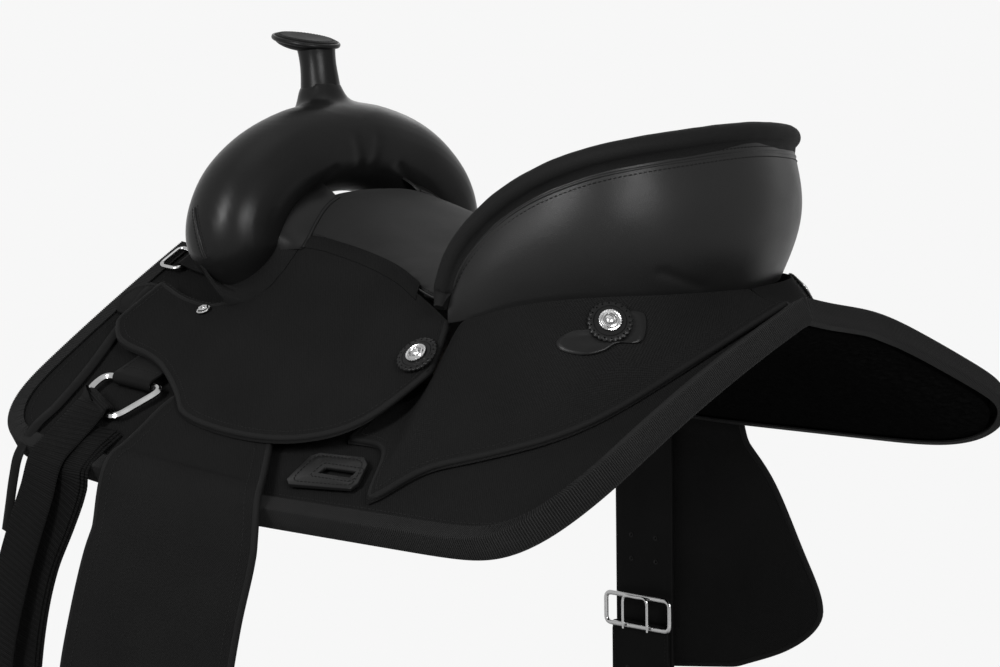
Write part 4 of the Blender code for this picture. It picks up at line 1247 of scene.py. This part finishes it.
def makeTrim():
    makeTongue()
    for label, _ in sides:
        for kind in ("jockey", "string"):
            top, normal = discFrame(label + "_" + kind + "_rosette")
            piece = rosettePiece(label + kind.title() + "Rosette", top - normal * rosette["thick"], normal)
            settle(piece, "saddle", "leather", label + "_" + kind + "_rosette")
            piece = conchoPiece(label + kind.title() + "Concho", top + normal * concho["lift"], normal)
            settle(piece, "saddle", "chrome", label + "_" + kind + "_concho")
        top, normal = discFrame(label + "_fork_screw")
        base = top - normal * screw["high"]
        head = turnedPiece(label + "ForkScrew", base, normal, screw["profile"], 48, hexRing)
        settle(dress(smoothShade(head, 30), "chrome"), "saddle", "chrome", label + "_fork_screw")
    print("rosettes and conchos done")


def hexRing(angle, share):
    # Six flats on the screw's head, inside a round washer.
    if 0.4 < share < 0.7:
        turn = angle % (math.pi / 3) - math.pi / 6
        return math.cos(math.pi / 6) / math.cos(turn) * 1.06, 0.0
    return 1.0, 0.0


dee = {"lift": 0.0092, "place": (0.249, -0.209), "wide": 0.0074, "thick": 0.0052, "round": 0.011,
       "corners": ((-0.037, 0.0), (0.036, 0.0), (0.019, 0.050), (-0.037, 0.027)),
       "rows": (*(tuple((along, down) for down in (-0.048, -0.036, -0.026, -0.016, -0.008))
                  for along in (-0.0195, 0.0195)),
                tuple((along, -0.012) for along in (-0.019, -0.01, 0.0, 0.01, 0.019)))}
breastDee = {"lift": 0.0074, "place": (0.108, -0.296), "wire": 0.0020, "round": 0.007,
             "corners": ((0, -0.014), (0, 0.014), (-0.022, 0.016), (-0.022, -0.016)),
             "rows": tuple(tuple((along, down) for along in (0.032, 0.026, 0.020, 0.014))
                           for down in (-0.0066, 0.0066))}


def deeLoop(spot, look, spacing):
    place, along, down, _ = spot
    corners = [place + along * a + down * d for a, d in look["corners"]]
    return evenly(roundedLoop(corners, look["round"], 8), spacing, True)[0]


def sewnTab(name, node, spot, look, high, size=1.0):
    # The leather that holds a dee, with its rows of stitches dropped on it from above.
    place, along, down, normal = spot
    tab = dress(smoothCopy(name, node, 3, 50, 0.8), "strap")
    tree = treeOf(tab)
    rows = []
    for row in look["rows"]:
        line = [place + along * a + down * d + normal * high for a, d in row]
        rows.append(stitches(name + "Row", *castOn(tree, line, -normal), size=size))
    settle(joined(name, tab, *rows), "saddle", "leather", node)


def makeDees():
    for label, side in sides:
        spot = skirtFrame(*dee["place"], side, dee["lift"])
        loop = deeLoop(spot, dee, 0.0022)
        flat = strapProfile(dee["wide"] * 0.94, dee["thick"], 0.42)
        ring = sweep(label + "FrontDee", relaxed(loop, 2, True), [spot[3]] * len(loop), flat, True)
        settle(dress(smoothShade(ring, 30), "chrome"), label + "_dee_body", "chrome", label + "_front_dee")
        sewnTab(label + "DeeChape", label + "_dee_chape", spot, dee, 0.03)

        spot = skirtFrame(*breastDee["place"], side, breastDee["lift"])
        loop = deeLoop(spot, breastDee, 0.0015)
        wire = roundProfile(breastDee["wire"])
        ring = sweep(label + "BreastDee", loop, [spot[3]] * len(loop), wire, True)
        settle(dress(ring, "chrome"), label + "_breast_dee_body", "chrome", label + "_breast_dee")
        sewnTab(label + "BreastTab", label + "_breast_tab", spot, breastDee, 0.02, 0.8)
    print("dees done")


def castOn(tree, points, way):
    # Points dropped on a surface along one direction, where they hit it.
    spots, facing = [], []
    for point in points:
        place, normal, _, _ = tree.ray_cast(point, way)
        if place is not None:
            spots.append(place)
            facing.append(normal if normal.dot(way) < 0 else -normal)
    return spots, facing


latigo = {"width": 0.0445, "thick": 0.0026, "pitch": 0.0028, "rib": 0.00050, "loop": 0.0016,
          "top": ((0.302, -0.2205, 0.0110, 0.5), (0.323, -0.2190, 0.0092, 1.0)),
          "hang": ((0.3425, -0.2195, -0.040), (0.349, -0.226, -0.070), (0.353, -0.243, -0.112),
                   (0.354, -0.261, -0.155), (0.353, -0.280, -0.205), (0.350, -0.294, -0.260),
                   (0.346, -0.301, -0.320), (0.344, -0.303, -0.370)),
          "foldTop": ((0.2985, -0.1965, 0.0036), (0.3080, -0.1955, 0.0046), (0.3200, -0.194, 0.0056)),
          "fold": ((0.3372, -0.1945, -0.043), (0.3385, -0.197, -0.060), (0.3390, -0.213, -0.090),
                   (0.3400, -0.237, -0.132), (0.3390, -0.256, -0.180), (0.3370, -0.271, -0.240),
                   (0.3350, -0.281, -0.320)),
          "foldThick": 0.0015, "layers": 3}


def ribbedStrap(name, path, across, width, thick):
    # Webbing whose crosswise ribs are in the mesh.
    points, sideways = evenly(spline(path, 400), latigo["pitch"] / 4, False, spline(across, 400))
    normals = []
    for index in range(len(points)):
        ahead = points[min(index + 1, len(points) - 1)] - points[max(index - 1, 0)]
        normals.append(ahead.cross(sideways[index]).normalized())

    def ribbed(distance):
        rib = latigo["rib"] * math.sin(2 * math.pi * distance / latigo["pitch"])
        return strapProfile(width, thick + rib, 0.4)

    return dress(sweep(name, points, normals, ribbed), "webbing")


def alongSkirt(x, y):
    rise = skirtTop(x, y + 0.02) - skirtTop(x, y - 0.02)
    return Vector((0, 0.04, rise)).normalized()


def makeLatigo():
    level = Vector((0.0, 1.0, -0.12))
    bar, along, down, normal = skirtFrame(*dee["place"], 1, dee["lift"])
    rear = bar + along * dee["corners"][2][0] + down * dee["corners"][2][1]
    front = bar + along * dee["corners"][3][0] + down * dee["corners"][3][1]
    run = (rear - front).normalized()
    pull = run.cross(normal).normalized()
    middle = (rear + front) / 2
    radius = 0.0036 + latigo["thick"] / 2 + latigo["loop"]
    path, across = [], []
    for step in range(8):
        angle = math.radians(mixed(190, 40, step / 7))
        path.append(middle + pull * (math.cos(angle) * radius) + normal * (math.sin(angle) * radius))
        across.append(run)
    for x, y, lift, turn in latigo["top"]:
        path.append(onSkirt(x, y, 1, lift))
        across.append(run.lerp(alongSkirt(x, y), turn))
    path += [Vector(point) for point in latigo["hang"]]
    across += [level] * len(latigo["hang"])
    strap = ribbedStrap("nearLatigo", path, across, latigo["width"], latigo["thick"])
    settle(strap, "near_latigo_body", "webbing", "near_latigo")
    layers = []
    for number in range(latigo["layers"]):
        shift = Vector((-0.0018 + number * 0.0018, 0.0035 - number * 0.0030, 0.0))
        path = [onSkirt(x, y, 1, lift + shift.x) + Vector((0, shift.y, 0))
                for x, y, lift in latigo["foldTop"]]
        across = [alongSkirt(point.x, point.y) for point in path] + [level] * len(latigo["fold"])
        path += [Vector(point) + shift for point in latigo["fold"]]
        layers.append(ribbedStrap("foldLayer", path, across, latigo["width"] - 0.002, latigo["foldThick"]))
    settle(joined("nearLatigoFold", *layers), "near_latigo_body", "webbing", "near_latigo_fold")
    print("latigo done")


tieStrap = {"width": 0.0115, "thick": 0.0026,
            "route": ((0.150, -0.300, 0.0072), (0.160, -0.300, 0.0068), (0.180, -0.296, 0.0042),
                      (0.210, -0.287, 0.0036), (0.250, -0.275, 0.0036), (0.290, -0.268, 0.0036),
                      (0.315, -0.267, 0.0044)),
            "hang": ((0.3345, -0.2665, -0.040), (0.3375, -0.272, -0.062), (0.3375, -0.279, -0.088),
                     (0.3370, -0.286, -0.112))}


keeper = {"place": (0.160, -0.298), "bevel": 0.0007, "finish": "strap", "high": 0.0050, "size": 0.8,
          "rows": ((0.004, ((0.0165, 0.0205), (0.0165, -0.0205), (-0.010, -0.0205), (-0.0205, -0.012),
                            (-0.0245, 0.0), (-0.0205, 0.012), (-0.010, 0.0205))),)}
rearPlate = {"place": (0.284, 0.082), "bevel": 0.0008, "finish": "smooth", "high": 0.0062, "size": 1.0,
             "rows": ((0.005, ((-0.040, -0.014), (-0.036, -0.0185), (0.009, -0.0200), (0.0165, -0.0135),
                               (0.0275, 0.0095), (0.0255, 0.0145), (-0.031, 0.0190), (-0.037, 0.0145))),
                      (0.004, ((-0.0235, -0.0095), (0.0235, -0.0095), (0.0235, 0.0095), (-0.0235, 0.0095))))}


def sewnPlate(name, node, side, look):
    # A flat plate on the skirt with softened edges and stitches round its outlines.
    plate = copyNode(name, node)
    change(plate, "BEVEL", width=look["bevel"], segments=3, limit_method="ANGLE",
           angle_limit=math.radians(40))
    smoothShade(dress(plate, look["finish"]), 30)
    place, along, down, normal = skirtFrame(*look["place"], side, 0.0)
    rows = []
    for radius, outline in look["rows"]:
        loop = [place + along * a + down * d + normal * look["high"] for a, d in outline]
        loop = roundedLoop(loop, radius, 3)
        rows.append(stitches(name + "Row", loop, [normal] * len(loop), closed=True, size=look["size"]))
    settle(joined(name, plate, *rows), "saddle", "leather", node)


def makeKeeper():
    sewnPlate("nearKeeper", "near_latigo_keeper", 1, keeper)
    path = [onSkirt(x, y, 1, lift) for x, y, lift in tieStrap["route"]]
    path += [Vector(point) for point in tieStrap["hang"]]
    points, _ = evenly(spline(path, 200), 0.003)
    facing = []
    for point in points:
        _, _, _, up = skirtFrame(min(point.x, 0.329), point.y, 1, 0.0)
        hang = ease((point.x - 0.322) / 0.014)
        facing.append(up.lerp(Vector((1, 0.05, 0.05)).normalized(), hang).normalized())
    strap = sweep("nearTieStrap", points, facing, strapProfile(tieStrap["width"], tieStrap["thick"], 0.4))
    settle(dress(strap, "strap"), "saddle", "leather")
    print("keeper and tie strap done")


def makeRearPlates():
    for label, side in sides:
        sewnPlate(label + "RearPlate", label + "_rear_plate", side, rearPlate)
    print("rear plates done")


fender = {"foldZ": -0.088, "bend": 0.015, "roll": 0.0030, "row": 0.0125, "x": 0.346, "lift": 0.0090,
          "thick": 0.0038, "columns": 14, "bendFrom": 0.322, "skirtEdge": 0.331}
leather = {"x": 0.31, "y": -0.1, "edge": 0.033, "from": -0.30, "step": 0.006, "count": 24, "gap": 0.016,
           "holes": (-0.200, -0.225, -0.340, -0.365),
           "eyelet": ((0.0024, 0.0), (0.0026, 0.0005), (0.0020, 0.0006), (0.0013, 0.0001), (0.0006, -0.0003))}


def bridgedCopy(name, upper, lower):
    # Two nodes that meet at the fold, sewn into one skin.
    piece = copyNode(name, upper, lower)
    split = len(copyTemp(upper, 0).data.vertices)
    builder = bmesh.new()
    builder.from_mesh(piece.data)
    builder.verts.ensure_lookup_table()
    level = fender["foldZ"] + 0.0006
    above = [vert for vert in builder.verts[:split] if vert.co.z < level + 0.0045]
    below = [vert for vert in builder.verts[split:] if vert.co.z > level - 0.0045]
    ends = (set(above), set(below))
    caps = [face for face in builder.faces if any(end.issuperset(face.verts) for end in ends)]
    bmesh.ops.delete(builder, geom=caps, context="FACES_ONLY")
    for vert in above:
        mate = min(below, key=lambda other: (other.co - vert.co).length)
        vert.co = mate.co = (vert.co + mate.co) / 2
    bmesh.ops.remove_doubles(builder, verts=above + below, dist=0.0001)
    bmesh.ops.recalc_face_normals(builder, faces=builder.faces)
    builder.to_mesh(piece.data)
    builder.free()
    return piece


# Each fender's front and rear edges, over the skirt as (x, y) and hanging as (y, z), as in the source.
fenderEdges = {
    "near": (((0.238, -0.146), (0.262, -0.152), (0.300, -0.148), (0.334, -0.145)),
             ((0.238, -0.052), (0.262, -0.020), (0.300, 0.014), (0.334, 0.042)),
             ((-0.148, -0.088), (-0.163, -0.116), (-0.182, -0.165), (-0.200, -0.222), (-0.211, -0.285),
              (-0.207, -0.345), (-0.168, -0.385)),
             ((0.049, -0.088), (0.043, -0.108), (0.027, -0.155), (0.012, -0.215), (0.003, -0.280),
              (-0.014, -0.340), (-0.072, -0.385))),
    "off": (((0.238, -0.150), (0.262, -0.150), (0.300, -0.146), (0.334, -0.146)),
            ((0.238, -0.052), (0.262, -0.034), (0.300, -0.012), (0.334, 0.010)),
            ((-0.143, -0.088), (-0.140, -0.130), (-0.138, -0.190), (-0.137, -0.250), (-0.134, -0.290),
             (-0.120, -0.322), (-0.080, -0.335)),
            ((0.022, -0.088), (0.056, -0.128), (0.089, -0.190), (0.113, -0.240), (0.108, -0.268),
             (0.072, -0.296), (0.010, -0.322)))}


def drape(x):
    # The fender's lift over the skirt, a little more where it nears the edge.
    return fender["lift"] + 0.0018 * ease((x - 0.290) / 0.040)


def fenderSkin(label, side):
    # One sheet over the skirt's edge and down, its outer and inner faces joined round the rim.
    size, wide = fender, fender["columns"]
    lines = []
    for top, hang in zip(fenderEdges[label][:2], fenderEdges[label][2:]):
        line = [onSkirt(x, y, side, drape(x)) for x, y in top]
        line.append(Vector((side * (size["x"] - 0.002), hang[0][0], size["foldZ"] + 0.016)))
        lines.append(spline(line, 31)[:-1] + spline([Vector((side * size["x"], y, z)) for y, z in hang], 61))
    inner = []
    for front, rear in zip(*lines):
        row = []
        for column in range(wide + 1):
            point = front.lerp(rear, column / wide)
            if abs(point.x) < size["skirtEdge"]:
                least = point.z if abs(point.x) > size["bendFrom"] else -1
                point.z = max(skirtTop(point.x, point.y) + drape(abs(point.x)), least)
            row.append(point)
        inner.append(row)
    builder = bmesh.new()
    grids = []
    for lift in (size["thick"], 0.0):
        grid = []
        for row, points in enumerate(inner):
            line = []
            for column, point in enumerate(points):
                down = inner[min(row + 1, len(inner) - 1)][column] - inner[max(row - 1, 0)][column]
                across = points[min(column + 1, wide)] - points[max(column - 1, 0)]
                normal = down.cross(across).normalized()
                if normal.z + normal.x * side < 0:
                    normal = -normal
                line.append(builder.verts.new(point + normal * lift))
            grid.append(line)
        grids.append(grid)
    outer, under = grids
    for grid in grids:
        for first, second in zip(grid, grid[1:]):
            for column in range(wide):
                builder.faces.new((first[column], first[column + 1], second[column + 1], second[column]))
    last = len(inner) - 1
    border = [(0, c) for c in range(wide + 1)] + [(r, wide) for r in range(1, last + 1)]
    border += [(last, c) for c in range(wide - 1, -1, -1)] + [(r, 0) for r in range(last - 1, 0, -1)]
    for (row, column), (nextRow, nextColumn) in zip(border, border[1:] + border[:1]):
        builder.faces.new((outer[row][column], outer[nextRow][nextColumn], under[nextRow][nextColumn],
                           under[row][column]))
    return fromBuilder(label + "FenderPanel", builder)


def bent(piece, label, side, slot, *nodes):
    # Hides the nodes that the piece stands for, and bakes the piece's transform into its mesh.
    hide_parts(*nodes)
    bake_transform(piece)


def makeFenders():
    for label, side in sides:
        panel = fenderSkin(label, side)
        smoothShade(subdivided(creased(panel, 55), 1))
        dress(boxMap(panel), "cordura")
        loop = rims(panel, (side * 0.35, -0.08, -0.2), (side, 0, 0), 55)[0]
        roll = roundProfile(fender["roll"], left=0.0010, up=-0.0019)
        pieces = edging(label + "FenderRoll", panel, loop, True, roll, fender["row"])
        panel = joined(label + "FenderPanel", panel, *pieces)
        bent(panel, label, side, "cordura", label + "_fender_top", label + "_fender")

        nodes = label + "_leather_top", label + "_stirrup_leather"
        strap = bridgedCopy(label + "StirrupLeather", *nodes)
        smoothShade(subdivided(creased(strap, 60, 0.85), 3), 50)
        dress(strap, "strap")
        tree = treeOf(strap)
        out = Vector((side, 0, 0))
        rows = []
        for shift in (-leather["edge"], leather["edge"]):
            levels = [leather["from"] - leather["step"] * step for step in range(leather["count"])]
            line = [Vector((side * leather["x"], leather["y"] + shift, z)) for z in levels]
            rows.append(stitches(label + "LeatherRow", *castOn(tree, line, out)))
        for z in leather["holes"]:
            for shift in (-leather["gap"], leather["gap"]):
                spots, facing = castOn(tree, [Vector((side * leather["x"], leather["y"] + shift, z))], out)
                if spots:
                    ring = turnedPiece("eyelet", spots[0], facing[0], leather["eyelet"], 16)
                    rows.append(dress(ring, "smooth"))
        strap = joined(label + "StirrupLeather", strap, *rows)
        bent(strap, label, side, "leather", *nodes)
    print("fenders and leathers done")


buckle = {"x": 0.3255, "y": -0.100, "z": -0.262, "high": 0.032, "half": 0.042, "bar": 0.0022,
          "tongue": 0.0017, "wire": 0.016, "reach": 0.003, "step": 0.0015, "round": 0.007,
          "flat": (1.15, 0.95)}


def makeBuckles():
    outward = Vector((1, 0, 0))
    for label, side in sides:
        x = side * buckle["x"]
        low = buckle["z"] - buckle["high"]
        top = buckle["z"]
        half = buckle["half"]
        corners = [Vector((x, buckle["y"] + y, z))
                   for y, z in ((-half, top), (half, top), (half, low), (-half, low))]
        loop = evenly(roundedLoop(corners, buckle["round"], 6), 0.002, True)[0]
        wide, high = buckle["flat"]
        bar = [(a * wide, b * high) for a, b in roundProfile(buckle["bar"])]
        piece = sweep(label + "Buckle", loop, [outward] * len(loop), bar, True)
        settle(dress(piece, "chrome"), label + "_fender_body", "chrome", label + "_buckle_frame")
        inside = x - side * (buckle["bar"] + buckle["tongue"] + 0.0005)
        tip = low - buckle["reach"]
        leg = ((-buckle["wire"], tip), (-buckle["wire"], top - 0.012), (-0.0155, top - 0.004), (-0.012, top))
        outline = (*leg, (0.0, top), *[(-y, z) for y, z in reversed(leg)])
        line = spline([Vector((inside, buckle["y"] + y, z)) for y, z in outline], 80)
        path = evenly(line, buckle["step"])[0]
        total = (len(path) - 1) * buckle["step"]

        def tapered(distance):
            ends = min(distance, total - distance)
            return roundProfile(buckle["tongue"] * mixed(0.7, 1.0, ease(ends / 0.008)))

        tongues = sweep(label + "Tongues", path, [outward] * len(path), tapered)
        settle(dress(tongues, "chrome"), label + "_tongues_body", "chrome", label + "_buckle_tongues")
    print("buckles done")


stirrup = {"x": 0.334, "y": -0.1, "pinZ": -0.470, "floor": -0.605, "tread": -0.5985, "treadHalf": 0.050,
           "treadWide": 0.042, "ridge": 0.0007, "ridgePitch": 0.008, "row": 0.0045,
           "bolt": ((0.0030, -0.0438), (0.0058, -0.0436), (0.0062, -0.0430), (0.0062, -0.0405),
                    (0.0061, -0.0400), (0.0061, 0.0400), (0.0062, 0.0405), (0.0062, 0.0430), (0.0058, 0.0436),
                    (0.0030, 0.0438))}


def makeStirrups():
    for label, side in sides:
        x, y = side * stirrup["x"], stirrup["y"]
        body = label + "_stirrup_body"
        bow = smoothCopy(label + "Stirrup", label + "_stirrup", 3, 60, 1.0)
        dress(bow, "strap")
        loop = rims(bow, (x, y, stirrup["floor"]), (0, 0, -1), 45)[0]
        row = insetPath(treeOf(bow), *evenly(loop[0], 0.004, True, loop[1]), stirrup["row"], True)
        row = stitches("bowRow", *row, closed=True)

        def ridged(distance):
            lift = 0.0022 + stirrup["ridge"] * math.sin(2 * math.pi * distance / stirrup["ridgePitch"])
            return [(a, b + 0.0005) for a, b in strapProfile(stirrup["treadWide"], lift * 1.2, 0.45)]

        half = stirrup["treadHalf"]
        fine = evenly([Vector((x, y + shift, stirrup["tread"])) for shift in (-half, half)], 0.001)[0]
        tread = sweep("tread", fine, [Vector((0, 0, 1))] * len(fine), ridged)
        bow = joined(label + "Stirrup", bow, row, dress(tread, "smooth"))
        settle(bow, body, "leather", label + "_stirrup")
        centre = Vector((x, y, stirrup["pinZ"]))
        bolt = turnedPiece(label + "StirrupBolt", centre, (0, 1, 0), stirrup["bolt"], 32)
        settle(dress(smoothShade(bolt, 30), "steel"), body, "chrome", label + "_stirrup_pin")
    print("stirrups done")


def dressTree():
    # What the leather hides keeps its CAD shape.
    looks = {"near_tree_bar": "wood", "off_tree_bar": "wood", "tree_fork": "wood", "cantle_board": "wood",
             "horn_core": "steel"}
    for node, look in looks.items():
        dress(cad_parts[node], look)


studio = {"white": 0.93, "ambient": 0.16, "floorSize": 16.0,
          "lamps": (("key", (2.10, 0.05, 1.05), (0.45, 1.10), 57.0),
                    ("rear", (1.25, 2.25, 0.90), (1.0, 0.8), 62.0),
                    ("top", (0.2, 0.1, 2.6), (1.6, 1.6), 7.0), ("back", (-2.0, -1.4, 1.4), (1.0, 1.4), 5.0))}


def makeStudio():
    low = min(cadBox[0][2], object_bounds()[0][2])
    bpy.ops.object.select_all(action="DESELECT")
    bpy.ops.mesh.primitive_plane_add(size=studio["floorSize"], location=(0, 0, low - 0.004))
    bpy.ops.object.transform_apply(location=True, rotation=True, scale=True)
    floor = bpy.context.object
    floor.name = "floor"
    # Near the object the floor is plain white card with its shadow; far away it glows like the backdrop.
    card = Finish("floorCard", {"Roughness": 0.9, "Specular IOR Level": 0.1})
    card.set("Base Color", grey(0.80))
    spot = card.place()
    length = card.node("ShaderNodeVectorMath", {"operation": "LENGTH"}, {0: spot}, out="Value")
    far = card.node("ShaderNodeMapRange", {"interpolation_type": "SMOOTHSTEP"},
                    {"Value": length, "From Min": 0.8, "From Max": 1.5})
    glow = card.node("ShaderNodeEmission", None, {"Color": grey(studio["white"])})
    near = Value(card.tree, card.shader.outputs[0])
    both = card.node("ShaderNodeMixShader", None, {0: far, 1: near, 2: glow})
    joinSocket(card.tree, card.tree.nodes["Material Output"].inputs["Surface"], both)
    floor.data.materials.append(card.material)

    world = bpy.data.worlds.new("studio")
    scene.world = world
    world.use_nodes = True
    tree = world.node_tree
    tree.nodes.clear()
    rays = tree.nodes.new("ShaderNodeLightPath")
    seen = Value(tree, rays.outputs["Is Camera Ray"]) + Value(tree, rays.outputs["Is Glossy Ray"])
    seen = (seen + Value(tree, rays.outputs["Is Transmission Ray"])).maths("MINIMUM", 1.0)
    strength = studio["ambient"] + seen * (studio["white"] - studio["ambient"])
    sky = tree.nodes.new("ShaderNodeBackground")
    sky.inputs["Color"].default_value = (1, 1, 1, 1)
    joinSocket(tree, sky.inputs["Strength"], strength)
    end = tree.nodes.new("ShaderNodeOutputWorld")
    tree.links.new(sky.outputs[0], end.inputs["Surface"])

    for name, place, size, power in studio["lamps"]:
        lamp = bpy.data.lights.new(name, "AREA")
        lamp.shape = "RECTANGLE"
        lamp.size, lamp.size_y = size
        lamp.energy = power
        holder = bpy.data.objects.new(name, lamp)
        scene.collection.objects.link(holder)
        holder.location = place
        holder.rotation_euler = (Vector((0, 0, 0.05)) - Vector(place)).to_track_quat("-Z", "Y").to_euler()
    scene.view_settings.view_transform = "Standard"
    print("studio done")


makeSkirts()
makeSwell()
makeHorn()
makeCantle()
makeSeat()
makeJockeys()
makeBands()
makeTrim()
makeDees()
makeLatigo()
makeKeeper()
makeRearPlates()
makeFenders()
makeBuckles()
makeStirrups()
dressTree()
for spare in working:
    bpy.data.objects.remove(spare, do_unlink=True)
setCamera()
makeStudio()
